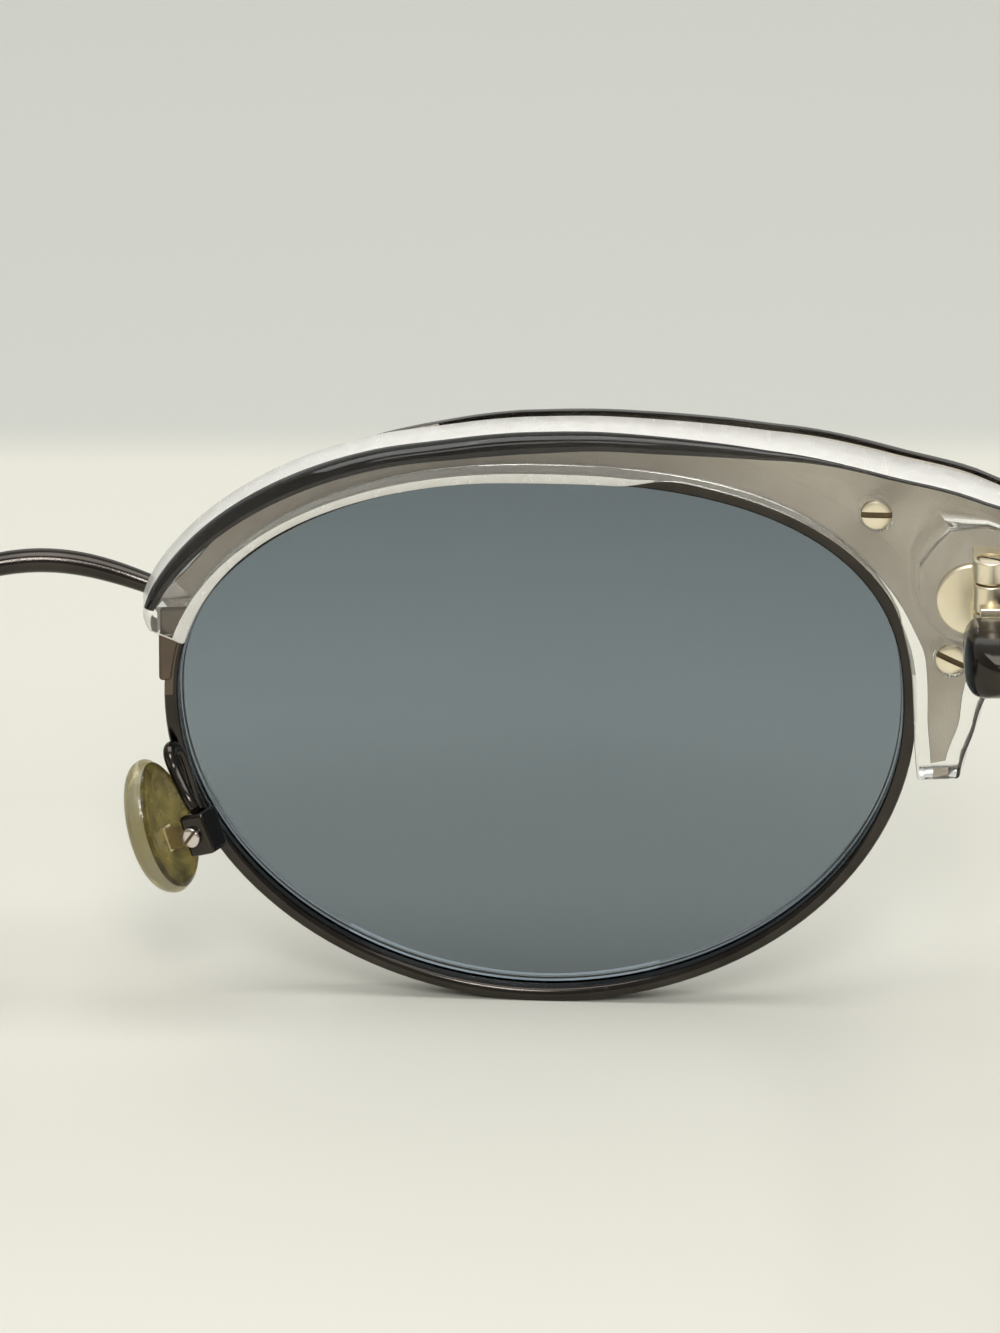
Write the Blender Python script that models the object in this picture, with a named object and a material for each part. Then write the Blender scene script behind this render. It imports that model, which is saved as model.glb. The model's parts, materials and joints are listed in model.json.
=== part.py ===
"""Browline sunglasses: metal rims and bridge, clear brows backed on metal trim plates, folding temples.

Sizes are in millimetres. The front faces -Y, the temples run back along +Y, and +Z is up. The wearer's right is
-X. The origin is on the surface the glasses stand on, under the middle of their width and length.

Each half of the front is drawn in lens coordinates: u runs from the lens's middle out towards the temple, w runs up
from the lens's widest line, and a depth runs back from the sphere that the lens is ground to.
"""

import math

import bmesh
import bpy
from mathutils import Matrix, Vector

MM = 0.001
SIDES = {"right": -1, "left": 1}

# Lens
LENS_HALF_WIDTH = 25.5
LENS_RISE = 15.8
LENS_FALL = 22.1
TOP_NASAL_POWER = 2.2
TOP_TEMPLE_POWER = 2.6
BOTTOM_POWER = 1.97
LENS_THICKNESS = 1.8
LENS_RADIUS = 100.0
LENS_CLEARANCE = 0.1
BEVEL_HALF_WIDTH = 0.4
BRIDGE_SIZE = 20.0
WRAP = math.radians(4.0)
STATIONS = 72
LENS_RINGS = (0.2, 0.6)

# Rim
RIM_WIDTH = 0.95
RIM_FRONT = -1.15
RIM_REAR = 2.1
RIM_CHAMFER = 0.2
GROOVE_DEPTH = 0.55
GROOVE_HALF_WIDTH = 0.5

# Rim lock, the split block at the nose that closes the rim round the lens
LOCK_WIDTH = 0.35
LOCK_FRONT = -1.0
LOCK_REAR = 2.0
LOCK_ANGLES = (177.0, 174.0, 170.0, 166.0, 162.0, 158.0)
LOCK_SPLIT = 4.6
LOCK_GAP = 0.3
LOCK_SCREW_INSET = 0.62
LOCK_SCREW_DEPTH = 1.2
LOCK_SCREW_RADIUS = 0.3
LOCK_HEAD_RADIUS = 0.42
LOCK_HEAD_HEIGHT = 0.5

# Brow and its trim plate
BROW_FRONT = -1.4
BROW_REAR = 2.8
BROW_EDGE = 0.25
BROW_TAPER = 0.35
LIP_GAP = 0.15
LOCK_POCKET_FIT = 0.12
PLATE_THICKNESS = 0.7
PLATE_GAP = 0.1
PLATE_EDGE = 0.15
PLATE_OVERLAP = 0.35
BROW_START = 167.0
BROW_END = -11.8
PLATE_END = -10.2
SLICE_STEP = 3.5

# The brow is drawn through slices that stand on the rim, from the nose round to the temple. Each list runs smoothly
# from one (angle round the lens, value) to the next: the slice's gap to the rim, its width, how many degrees it leans
# from square to the rim, the round on its rear outer edge, and how far its rear lips over the rim.
BROW_GAPS = ((167, 0.15), (-4, 0.15), (-8.5, 0.35), (-11.8, 0.8))
BROW_WIDTHS = (
    (167, 2.0),
    (163, 2.7),
    (158, 3.1),
    (148, 3.6),
    (138, 3.85),
    (125, 3.7),
    (108.5, 3.35),
    (100, 3.05),
    (92, 3.1),
    (84, 3.65),
    (76, 3.6),
    (68, 3.9),
    (60, 4.7),
    (47, 7.25),
    (37, 10.8),
    (33, 12.2),
    (29, 12.1),
    (19, 9.15),
    (8, 5.9),
    (2, 4.7),
    (-4, 4.05),
    (-11.8, 3.3),
)
BROW_LEANS = (
    (167, -10),
    (163, 8),
    (158, 22),
    (148, 38),
    (138, 44),
    (125, 42),
    (108.5, 36),
    (100, 31),
    (92, 21),
    (84, 30),
    (76, 20),
    (68, 9),
    (60, -2),
    (47, -14),
    (37, -15),
    (33, -13),
    (29, -11),
    (19, -9),
    (8, -12),
    (2, -6),
    (-4, 4),
    (-11.8, 24),
)
BROW_ROUNDS = (
    (167, 0.25),
    (158, 0.3),
    (125, 0.9),
    (100, 1.2),
    (84, 1.2),
    (68, 0.8),
    (53, 0.3),
    (47, 0.25),
    (-11.8, 0.25),
)
BROW_LIPS = (
    (167, 1.1),
    (158, 1.05),
    (84, 1.05),
    (76, 0.1),
    (68, 0.05),
    (24, 0.05),
    (14, 0.3),
    (8, 0.35),
    (2, 0.35),
    (-4, 0.2),
    (-8.5, 0.05),
    (-11.8, 0.05),
)

# The trim plate follows the brow. Its inner edge moves out, and its outer edge stands proud of the brow's.
PLATE_INSETS = (
    (167, 0.0),
    (60, 0.0),
    (29, 0.6),
    (14, 1.1),
    (8, 1.5),
    (2, 1.5),
    (-4, 1.6),
    (-11.8, 2.4),
)
PLATE_PROUD = (
    (167, -0.5),
    (163, -0.6),
    (158, -1.0),
    (150, -1.6),
    (138, -1.7),
    (125, -1.1),
    (108.5, -0.3),
    (100, 0.1),
    (92, 0.25),
    (60, 0.35),
    (42, 0.5),
    (37, 0.4),
    (33, 0.0),
    (29, -0.7),
    (24, -1.2),
    (14, -1.7),
    (8, -1.6),
    (2, -1.2),
    (-4, -0.9),
    (-11.8, -1.2),
)
PLATE_NOSE_ANGLES = (177.5, 175.0, 172.0, 169.0)
PLATE_NOSE_WIDTHS = (0.75, 1.0, 1.15, 1.2)

# End block that carries the hinge. Each row is a corner of its rear face and the corner of its foot on the brow that
# a cove joins it to, as (outwards from the lens's edge, up from its widest line).
BLOCK_CORNERS = (
    ((4.5, 7.2), (4.1, 5.9)),
    ((2.8, 7.7), (2.1, 6.5)),
    ((1.8, 8.7), (0.9, 7.9)),
    ((1.3, 10.3), (0.3, 9.7)),
    ((1.3, 12.7), (0.2, 12.9)),
    ((2.5, 14.4), (0.7, 15.2)),
    ((3.4, 15.4), (1.4, 17.0)),
    ((6.0, 15.7), (6.0, 16.4)),
    ((7.7, 15.2), (7.9, 15.7)),
    ((8.3, 13.6), (8.3, 13.6)),
    ((8.2, 9.6), (8.1, 9.6)),
    ((7.4, 7.5), (7.4, 6.9)),
)
BLOCK_COVE = ((1.0, -1.0), (0.95, 0.0), (0.62, 0.1), (0.34, 0.27), (0.13, 0.55), (0.02, 0.9))
BLOCK_EDGE = 0.35

# Hinge, placed by its pin: outwards from the lens's edge, up from its widest line, and behind the block
HINGE_OUT = 6.35
HINGE_UP = 11.85
HINGE_SETBACK = 3.0
KNUCKLE_RADIUS = 1.25
MIDDLE_KNUCKLE_HEIGHT = 2.0
OUTER_KNUCKLE_HEIGHT = 1.6
KNUCKLE_GAP = 0.15
HINGE_BORE_RADIUS = 0.68
HINGE_SCREW_RADIUS = 0.56
HINGE_HEAD_RADIUS = 0.9
HINGE_HEAD_HEIGHT = 0.5
HINGE_HEAD_FIT = 0.1
DISC_INWARD = 1.1
DISC_DOWN = 1.2
DISC_RADIUS = 2.6
DISC_THICKNESS = 0.6
DISC_EDGE = 0.15
DISC_GAP = 0.05
STUD_RADIUS = 0.8
STUD_LENGTH = 2.4
STUD_FIT = 0.1
TANG_HALF_THICKNESS = 0.8
TANG_LENGTH = 4.6
TANG_ROOT_HEIGHT = 0.7
TANG_DROP = 1.6
TANG_FIT = 0.1

# Brow screws and the posts on the plate that they thread into, outwards from the lens's edge and up
BROW_SCREWS = {"upper": (-1.9, 15.15), "lower": (3.4, 4.55)}
BROW_SLOT_TURN = {"upper": 0.0, "lower": 25.0}
BROW_HEAD_RADIUS = 1.1
BROW_HEAD_HEIGHT = 0.5
BROW_HEAD_SINK = 0.2
BROW_SCREW_RADIUS = 0.5
BROW_SCREW_LENGTH = 3.1
COUNTERBORE_FIT = 0.15
POST_RADIUS = 0.95
POST_HEIGHT = 2.1
POST_FIT = 0.1
THREAD_FIT = 0.07
SLOT_WIDTH = 0.32
SLOT_DEPTH = 0.25

# Bridge, a wire that thins towards its feet. A foot is placed outwards from the lens's nose edge and up.
BRIDGE_RADIUS = 0.86
BRIDGE_FOOT_RADIUS = 0.68
BRIDGE_FOOT_OUT = 1.3
BRIDGE_FOOT_UP = 6.3
BRIDGE_RISE = 1.7
BRIDGE_BOW = 1.2
BRIDGE_GAP = 0.1
BRIDGE_STEPS = 16

# Nose pads, each hung from a screw: in from the lens's nose edge, up, and behind the lens
PAD_SCREW_IN = 1.85
PAD_SCREW_UP = -8.75
PAD_SCREW_DEPTH = 6.6
PAD_SPLAY = math.radians(24.0)
PAD_LEAN = math.radians(20.0)
PAD_HALF_LENGTH = 4.9
PAD_HALF_WIDTH = 3.3
PAD_TAPER = 0.12
PAD_RISE = 1.0
PAD_BACK = 2.4
PAD_THICKNESS = 1.9
PAD_LIP = 0.3
PAD_SIDES = 24
PAD_POCKET_FIT = 0.1
BOX_BACK = 1.3
BOX_FRONT = 0.7
BOX_HALF_LENGTH = 1.5
BOX_HALF_WIDTH = 1.1
BOX_EDGE = 0.25
BOX_SLOT_HALF = 0.55
BOX_SLOT_BACK = 0.8
TAB_HALF = 0.42
TAB_HALF_LENGTH = 0.8
TAB_DEPTH = 3.1
PAD_SCREW_RADIUS = 0.32
PAD_HEAD_RADIUS = 0.72
PAD_HEAD_HEIGHT = 0.4
PAD_BORE_FIT = 0.08

# Pad arm, a wire from a foot behind the rim, over and down to the box: (outwards from the lens's edge, up, depth)
PAD_ARM_RADIUS = 0.45
PAD_ARM_PATH = (
    (0.70, -11.0, 2.65),
    (0.50, -7.7, 2.65),
    (0.30, -5.0, 2.70),
    (0.45, -3.85, 2.95),
    (0.75, -3.50, 3.50),
    (0.85, -3.85, 4.05),
    (0.70, -4.7, 4.50),
    (0.40, -5.6, 5.40),
    (0.15, -6.3, 6.10),
    (-0.05, -7.0, 6.45),
)

# Temple: a strip that narrows to a wire inside the tip. Lengths run along it from the hinge pin.
TEMPLE_LENGTH = 145.0
BEND_RADIUS = 22.0
BEND_ANGLE = math.radians(45.0)
BEND_STEPS = 5
TIP_END_HEIGHT = 0.7
ARM_HALF_THICKNESS = 0.75
ARM_FRONT_GAP = 0.3
ARM_INNER = 1.45
ARM_LOWER = 2.75
ARM_CHAMFER = 0.3
ARM_FRONT_STATIONS = ((0.0, 2.35), (0.6, 2.75), (3.0, 2.85))
ARM_SHARE_STATIONS = ((0.23, 2.60), (0.52, 2.20), (0.80, 1.80), (0.97, 1.60))

# Head of the temple, a rounded block behind the hinge: (length, share of its full size)
HEAD_INNER = 2.0
HEAD_FRONT = 1.75
HEAD_HALF_HEIGHT = 2.1
HEAD_CORNER = 1.2
HEAD_STATIONS = ((0.0, 0.85), (0.35, 0.96), (1.0, 1.0), (4.6, 1.0), (6.4, 0.9), (7.5, 0.64), (8.1, 0.38))

# Tip: half heights at lengths from the start of the bend
CORE_RADIUS = 0.6
CORE_FIT = 0.15
SLEEVE_GAP = 0.3
CORE_SHORT = 9.0
CORE_LAST_SPAN = 12.0
TIP_STATIONS = ((-5.0, 1.75), (-4.0, 1.95), (0.0, 2.10), (8.0, 2.30), (20.0, 2.60), (33.0, 2.90), (43.0, 3.10))
TIP_END_STATIONS = ((3.0, 0.15, 0.0, 0.8), (1.0, 0.8, 0.2, 0.8), (0.0, 1.5, 0.7, 0.5))
TIP_HALF_THICKNESS = 1.5
TIP_CHAMFER = 0.7
TIP_MOUTH_THINNING = 0.45
TIP_INWARD = 2.0

# Wide sections have extra points at these shares of their width, so that they follow the sphere.
SECTION_SHARES = (0.28, 0.5, 0.75)

# Everything below follows from the sizes above.
LENS_MIDDLE = (LENS_RISE - LENS_FALL) / 2
LENS_X = BRIDGE_SIZE / 2 + LENS_HALF_WIDTH
PLATE_REAR = BROW_FRONT - PLATE_GAP
PLATE_FRONT = PLATE_REAR - PLATE_THICKNESS


def sag(u, w):
    """How far the lens's sphere has curved back at a point."""
    return LENS_RADIUS - math.sqrt(LENS_RADIUS**2 - u**2 - (w - LENS_MIDDLE) ** 2)


def outline(degrees, offset=0.0):
    """The point (u, w) on the lens's edge at an angle, moved outwards by the offset."""
    cos, sin = math.cos(math.radians(degrees)), math.sin(math.radians(degrees))
    if sin < 0:
        power, height = BOTTOM_POWER, LENS_FALL
    else:
        power, height = (TOP_TEMPLE_POWER if cos > 0 else TOP_NASAL_POWER), LENS_RISE
    u = math.copysign(LENS_HALF_WIDTH * abs(cos) ** (2 / power), cos)
    w = math.copysign(height * abs(sin) ** (2 / power), sin)
    out = Vector(
        (
            math.copysign(abs(u / LENS_HALF_WIDTH) ** (power - 1) / LENS_HALF_WIDTH, u),
            math.copysign(abs(w / height) ** (power - 1) / height, w),
        )
    ).normalized()
    return u + out.x * offset, w + out.y * offset


RIM_ANGLES = [(index + 0.5) * 360 / STATIONS for index in range(STATIONS)]
LENS_Z = -min(outline(angle, RIM_WIDTH)[1] for angle in RIM_ANGLES)


def from_lens(u, depth, w):
    """A point of the lens frame turned by the wrap: (outwards, back, up) from the middle of the front."""
    cos, sin = math.cos(WRAP), math.sin(WRAP)
    return LENS_X + u * cos - depth * sin, u * sin + depth * cos, w + LENS_Z


def smooth_value(stations, angle):
    """A value that runs smoothly through (angle, value) stations, which go down in angle."""
    last = len(stations) - 2
    index = next((spot for spot in range(last) if angle >= stations[spot + 1][0]), last)
    (start, low), (end, high) = stations[index], stations[index + 1]
    if low == high:
        return low
    before, after = stations[max(index - 1, 0)], stations[min(index + 2, last + 1)]
    leaving = (high - before[1]) / (end - before[0]) * (end - start)
    arriving = (after[1] - low) / (after[0] - start) * (end - start)
    t = (angle - start) / (end - start)
    held = (2 * t**3 - 3 * t**2 + 1) * low + (3 * t**2 - 2 * t**3) * high
    return held + (t**3 - 2 * t**2 + t) * leaving + (t**3 - t**2) * arriving


def slices_to(last):
    """The angles of the slices, from the nose end to a last one."""
    count = math.ceil((BROW_START - last) / SLICE_STEP)
    return [BROW_START + (last - BROW_START) * index / count for index in range(count + 1)]


def brow_slice(angle):
    """The inner and outer (u, w) points of a slice of the brow."""
    gap = smooth_value(BROW_GAPS, angle)
    inner, beyond = Vector(outline(angle, RIM_WIDTH + gap)), Vector(outline(angle, RIM_WIDTH + gap + 1))
    lean = Matrix.Rotation(math.radians(smooth_value(BROW_LEANS, angle)), 2)
    return inner, inner + lean @ (beyond - inner) * smooth_value(BROW_WIDTHS, angle)


def nasal_edge(w):
    """The u of the lens's nose edge at a height under its widest line."""
    return -LENS_HALF_WIDTH * (1 - (-w / LENS_FALL) ** BOTTOM_POWER) ** (1 / BOTTOM_POWER)


BROW_OUTER = [brow_slice(angle)[1] for angle in slices_to(BROW_END)]
BLOCK_REAR = max(from_lens(u, sag(u, w) + BROW_REAR, 0)[1] for u, w in BROW_OUTER)
HINGE_U = LENS_HALF_WIDTH + HINGE_OUT
HINGE_Y = BLOCK_REAR + HINGE_SETBACK
HINGE_X = LENS_X + HINGE_U * math.cos(WRAP) - (HINGE_Y - HINGE_U * math.sin(WRAP)) * math.sin(WRAP)
HINGE_Z = LENS_Z + HINGE_UP
ARM_Z = HINGE_Z - ARM_LOWER
ARM_OUTWARD = ARM_INNER + ARM_HALF_THICKNESS
TIP_DROP = ARM_Z - TIP_END_HEIGHT
TIP_STRAIGHT = (TIP_DROP - BEND_RADIUS * (1 - math.cos(BEND_ANGLE))) / math.sin(BEND_ANGLE)
BEND_START = TEMPLE_LENGTH - BEND_RADIUS * BEND_ANGLE - TIP_STRAIGHT
BEND_LENGTHS = [BEND_START + BEND_RADIUS * BEND_ANGLE * step / BEND_STEPS for step in range(1, BEND_STEPS + 1)]
TIP_MOUTH = BEND_START + TIP_STATIONS[0][0]
CORE_END = TEMPLE_LENGTH - CORE_SHORT


def temple_point(length):
    """(back, up, slope) of the temple's middle line at a length from the hinge pin."""
    along = length - BEND_START
    if along <= 0:
        return length, ARM_Z, 0.0
    turned = min(along / BEND_RADIUS, BEND_ANGLE)
    straight = max(along - BEND_RADIUS * BEND_ANGLE, 0.0)
    back = BEND_START + BEND_RADIUS * math.sin(turned) + straight * math.cos(turned)
    up = ARM_Z - BEND_RADIUS * (1 - math.cos(turned)) - straight * math.sin(turned)
    return back, up, turned


def temple_ring(length, half_height, half_thickness, chamfer):
    """A section of the temple square to its middle line, with its corners cut off."""
    back, up, slope = temple_point(length)
    share = max(length - BEND_START, 0.0) / (TEMPLE_LENGTH - BEND_START)
    outward = ARM_OUTWARD - TIP_INWARD * share**2
    corners = []
    for across, rise in (
        (-half_thickness + chamfer, -half_height),
        (half_thickness - chamfer, -half_height),
        (half_thickness, -half_height + chamfer),
        (half_thickness, half_height - chamfer),
        (half_thickness - chamfer, half_height),
        (-half_thickness + chamfer, half_height),
        (-half_thickness, half_height - chamfer),
        (-half_thickness, -half_height + chamfer),
    ):
        corners.append((outward + across, back + rise * math.sin(slope), up - HINGE_Z + rise * math.cos(slope)))
    return corners


BRIDGE_FOOT_U = -LENS_HALF_WIDTH - BRIDGE_FOOT_OUT
FOOT_FRONT = from_lens(BRIDGE_FOOT_U, sag(BRIDGE_FOOT_U, BRIDGE_FOOT_UP) + PLATE_FRONT, 0)[1]
BRIDGE_Y = FOOT_FRONT - BRIDGE_GAP - BRIDGE_FOOT_RADIUS
FOREMOST = BRIDGE_Y - BRIDGE_BOW - BRIDGE_RADIUS
TIP_END = temple_ring(TEMPLE_LENGTH, TIP_STATIONS[-1][1] - TIP_END_STATIONS[-1][1], TIP_HALF_THICKNESS, 0.5)
REARMOST = HINGE_Y + max(corner[1] for corner in TIP_END)
FRONT_Y = -(FOREMOST + REARMOST) / 2


def mirrored(side):
    """Metres in the world from millimetres on the wearer's left, turned over for the right."""
    return Matrix.Diagonal((SIDES[side] * MM, MM, MM, 1))


def lens_frame(side):
    place = Matrix.Translation((LENS_X, FRONT_Y, LENS_Z)) @ Matrix.Rotation(WRAP, 4, "Z")
    return mirrored(side) @ place


def hinge_frame(side):
    return mirrored(side) @ Matrix.Translation((HINGE_X, FRONT_Y + HINGE_Y, HINGE_Z))


def pad_frame(side):
    """Centred on the pad's screw: x towards the skin, y along the screw to the rear, z up the pad."""
    out = Vector((math.cos(PAD_SPLAY), math.sin(PAD_SPLAY), 0))
    rear = Vector((-math.sin(PAD_SPLAY), math.cos(PAD_SPLAY), 0))
    up = Vector((0, 0, 1))
    skin = -(out * math.cos(PAD_LEAN) + up * math.sin(PAD_LEAN))
    along = up * math.cos(PAD_LEAN) - out * math.sin(PAD_LEAN)
    turn = Matrix((skin, rear, along)).transposed().to_4x4()
    u, w = -LENS_HALF_WIDTH + PAD_SCREW_IN, PAD_SCREW_UP
    return lens_frame(side) @ Matrix.Translation((u, sag(u, w) + PAD_SCREW_DEPTH, w)) @ turn


def new_material(name, colour, roughness, metallic, alpha=1.0):
    material = bpy.data.materials.new(name)
    material.use_nodes = True
    shader = material.node_tree.nodes["Principled BSDF"]
    shader.inputs["Base Color"].default_value = (*colour, 1)
    shader.inputs["Roughness"].default_value = roughness
    shader.inputs["Metallic"].default_value = metallic
    shader.inputs["Alpha"].default_value = alpha
    return material


LOOKS = {
    "gunmetal": ((0.10, 0.085, 0.08), 0.32, 1.0),
    "satin_plate": ((0.40, 0.34, 0.30), 0.45, 1.0),
    "brass": ((0.72, 0.60, 0.38), 0.3, 1.0),
    "nickel": ((0.66, 0.62, 0.60), 0.25, 1.0),
    "clear_acetate": ((0.88, 0.88, 0.84), 0.1, 0.0, 0.35),
    "grey_lens": ((0.12, 0.15, 0.15), 0.05, 0.0, 0.6),
    "silicone": ((0.80, 0.76, 0.50), 0.3, 0.0, 0.6),
}


def solid(name, rings, frame, look=None, closed=False, origin=None, smooth=False):
    """Skins rings of equal point counts into one closed body. With no look it's a cutter or a piece to be joined."""
    origin = origin or Vector((0, 0, 0))
    mesh = bpy.data.meshes.new(name)
    work = bmesh.new()
    loops = [[work.verts.new(frame @ Vector(point) - origin) for point in ring] for ring in rings]
    following = loops[1:] + ([loops[0]] if closed else [])
    for first, second in zip(loops, following):
        for index in range(len(first)):
            after = (index + 1) % len(first)
            work.faces.new((first[index], first[after], second[after], second[index]))
    if not closed:
        work.faces.new(loops[0])
        work.faces.new(loops[-1])
    bmesh.ops.recalc_face_normals(work, faces=work.faces)
    work.to_mesh(mesh)
    work.free()
    made = bpy.data.objects.new(name, mesh)
    made.location = origin
    bpy.context.scene.collection.objects.link(made)
    if smooth:
        mesh.shade_smooth()
        mesh.set_sharp_from_angle(angle=math.radians(35))
    if look:
        mesh.materials.append(new_material(name, *LOOKS[look]))
    else:
        made.hide_render = True
        made.display_type = "WIRE"
    return made


def combine(target, other, operation):
    modifier = target.modifiers.new(other.name, "BOOLEAN")
    modifier.operation = operation
    modifier.solver = "EXACT"
    modifier.object = other


def cut(target, cutter):
    combine(target, cutter, "DIFFERENCE")


def join(target, piece):
    combine(target, piece, "UNION")


def turned_rings(profile, centre, axis, sides=16, phase=0.0):
    """Rings of a turned piece, its profile being (radius, height along the axis) from its start."""
    axis = Vector(axis).normalized()
    first = axis.orthogonal().normalized()
    second = axis.cross(first)
    rings = []
    for radius, height in profile:
        middle = Vector(centre) + axis * height
        angles = [phase + 2 * math.pi * index / sides for index in range(sides)]
        rings.append([middle + first * radius * math.cos(a) + second * radius * math.sin(a) for a in angles])
    return rings


def box_rings(low, high):
    """Two rings of a box, from its lower corner to its upper one."""
    (x0, y0, z0), (x1, y1, z1) = low, high
    return [[(x0, y0, z), (x1, y0, z), (x1, y1, z), (x0, y1, z)] for z in (z0, z1)]


def screw(name, frame, look, centre, axis, head, shank, length, slot_turn=0.0):
    """A slotted screw. Its head's underside is at the centre, and the axis points out of the head."""
    radius, height = head
    axis = Vector(axis).normalized()
    profile = ((shank, -length), (shank, 0), (radius, 0), (radius, height - 0.1), (radius - 0.1, height))
    made = solid(name, turned_rings(profile, centre, axis), frame, look, smooth=True)
    across = Vector((0, 0, 1)) if abs(axis.z) < 0.5 else Vector((0, 1, 0))
    across = (across - axis * across.dot(axis)).normalized()
    across = Matrix.Rotation(math.radians(slot_turn), 3, axis) @ across
    along = axis.cross(across)
    ring = []
    for width, reach in ((-1, -1), (1, -1), (1, 1), (-1, 1)):
        ring.append(across * width * SLOT_WIDTH / 2 + along * reach * (radius + 1))
    heights = (height - SLOT_DEPTH, height + 1)
    rings = [[Vector(centre) + axis * rise + point for point in ring] for rise in heights]
    cut(made, solid(name + "_slot_cutter", rings, frame))
    return made


def edge_point(angle, offset, depth):
    u, w = outline(angle, offset)
    return u, sag(u, w) + depth, w


def scaled_ring(scale, depth):
    """A ring of the lens's face, part of the way out from its middle."""
    points = []
    for angle in RIM_ANGLES:
        u, w = outline(angle)
        u, w = u * scale, LENS_MIDDLE + (w - LENS_MIDDLE) * scale
        points.append((u, sag(u, w) + depth, w))
    return points


def make_lens(side):
    half = LENS_THICKNESS / 2
    edge = [(-LENS_CLEARANCE, -half), (-LENS_CLEARANCE, -BEVEL_HALF_WIDTH)]
    edge += [(GROOVE_DEPTH - 1.5 * LENS_CLEARANCE, 0)]
    edge += [(-LENS_CLEARANCE, BEVEL_HALF_WIDTH), (-LENS_CLEARANCE, half)]
    rings = [scaled_ring(scale, -half) for scale in LENS_RINGS]
    rings += [[edge_point(angle, offset, depth) for angle in RIM_ANGLES] for offset, depth in edge]
    rings += [scaled_ring(scale, half) for scale in reversed(LENS_RINGS)]
    solid(side + "_lens", rings, lens_frame(side), "grey_lens", smooth=True)


LOCK_LOW = outline(LOCK_ANGLES[0], RIM_WIDTH / 2)[1]
LOCK_HIGH = outline(LOCK_ANGLES[-1], RIM_WIDTH / 2)[1]
LOCK_OUTER = -LENS_HALF_WIDTH - RIM_WIDTH - LOCK_WIDTH
LOCK_SAG = sag(LOCK_OUTER, (LOCK_LOW + LOCK_HIGH) / 2)


def lock_rings(grow):
    """The rim lock's block, from the rim's middle outwards, grown on every side by a clearance."""
    rings = []
    outer = LOCK_OUTER - grow
    front, rear = LOCK_SAG + LOCK_FRONT - grow, LOCK_SAG + LOCK_REAR + grow
    for angle in LOCK_ANGLES:
        inner, level = outline(angle, RIM_WIDTH / 2)
        level += grow if angle == LOCK_ANGLES[-1] else 0
        rings.append([(outer, front, level), (inner, front, level), (inner, rear, level), (outer, rear, level)])
    return rings


def make_eyewire(side):
    frame = lens_frame(side)
    front, rear, chamfer = RIM_FRONT, RIM_REAR, RIM_CHAMFER
    section = (
        (0, -GROOVE_HALF_WIDTH),
        (GROOVE_DEPTH, 0),
        (0, GROOVE_HALF_WIDTH),
        (0, rear - chamfer),
        (chamfer, rear),
        (RIM_WIDTH - chamfer, rear),
        (RIM_WIDTH, rear - chamfer),
        (RIM_WIDTH, front + chamfer),
        (RIM_WIDTH - chamfer, front),
        (chamfer, front),
        (0, front + chamfer),
    )
    rings = [[edge_point(angle, offset, depth) for offset, depth in section] for angle in RIM_ANGLES]
    rim = solid(side + "_eyewire", rings, frame, "gunmetal", closed=True, smooth=True)
    join(rim, solid(side + "_lock_block", lock_rings(0), frame))
    low, high = LOCK_SPLIT - LOCK_GAP / 2, LOCK_SPLIT + LOCK_GAP / 2
    split = box_rings((LOCK_OUTER - 1, LOCK_SAG - 4, low), (LOCK_OUTER + 6, LOCK_SAG + 4, high))
    cut(rim, solid(side + "_lock_split_cutter", split, frame))

    # The screw stands in the block, clear of the rim, with its head sunk in the block's foot.
    depth = LOCK_SAG + LOCK_SCREW_DEPTH
    centre = (LOCK_OUTER + LOCK_SCREW_INSET, depth, LOCK_LOW + LOCK_HEAD_HEIGHT + 0.05)
    length = LOCK_HIGH - LOCK_LOW - 1.2
    wide, narrow = LOCK_HEAD_RADIUS + 0.07, LOCK_SCREW_RADIUS + THREAD_FIT
    profile = ((wide, 1), (wide, 0), (narrow, 0), (narrow, -length - 0.2))
    bore = turned_rings(profile, centre, (0, 0, -1), 12)
    cut(rim, solid(side + "_lock_bore_cutter", bore, frame))
    head = (LOCK_HEAD_RADIUS, LOCK_HEAD_HEIGHT)
    screw(side + "_rim_screw", frame, "nickel", centre, (0, 0, -1), head, LOCK_SCREW_RADIUS, length)


def brow_section(angle):
    """A slice of the brow: its outer face leans in to a rounded rear edge, and its rear lips over the rim."""
    inner, outer = brow_slice(angle)
    width = (outer - inner).length
    across = (outer - inner) / width
    round_size, lip = smooth_value(BROW_ROUNDS, angle), smooth_value(BROW_LIPS, angle)
    edge, thickness = BROW_EDGE, BROW_REAR - BROW_FRONT
    points = [(edge, BROW_FRONT)] + [(width * share, BROW_FRONT) for share in SECTION_SHARES]
    points += [(width - edge, BROW_FRONT), (width, BROW_FRONT + edge)]
    for step in range(5):
        turn = math.pi / 2 * step / 4
        depth = BROW_REAR - round_size * (1 - math.sin(turn))
        lean = BROW_TAPER * (depth - BROW_FRONT) / thickness
        points.append((width - lean - round_size * (1 - math.cos(turn)), depth))
    flat = width - round_size - BROW_TAPER
    points += [(flat * share, BROW_REAR) for share in reversed(SECTION_SHARES)]
    step_depth = RIM_REAR + LIP_GAP
    points += [(edge - lip, BROW_REAR), (-lip, BROW_REAR - edge), (-lip, step_depth)]
    points += [(0, step_depth), (0, BROW_FRONT + edge)]
    ring = []
    for reach, depth in points:
        u, w = inner + across * reach
        ring.append((u, sag(u, w) + depth, w))
    return ring


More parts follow.
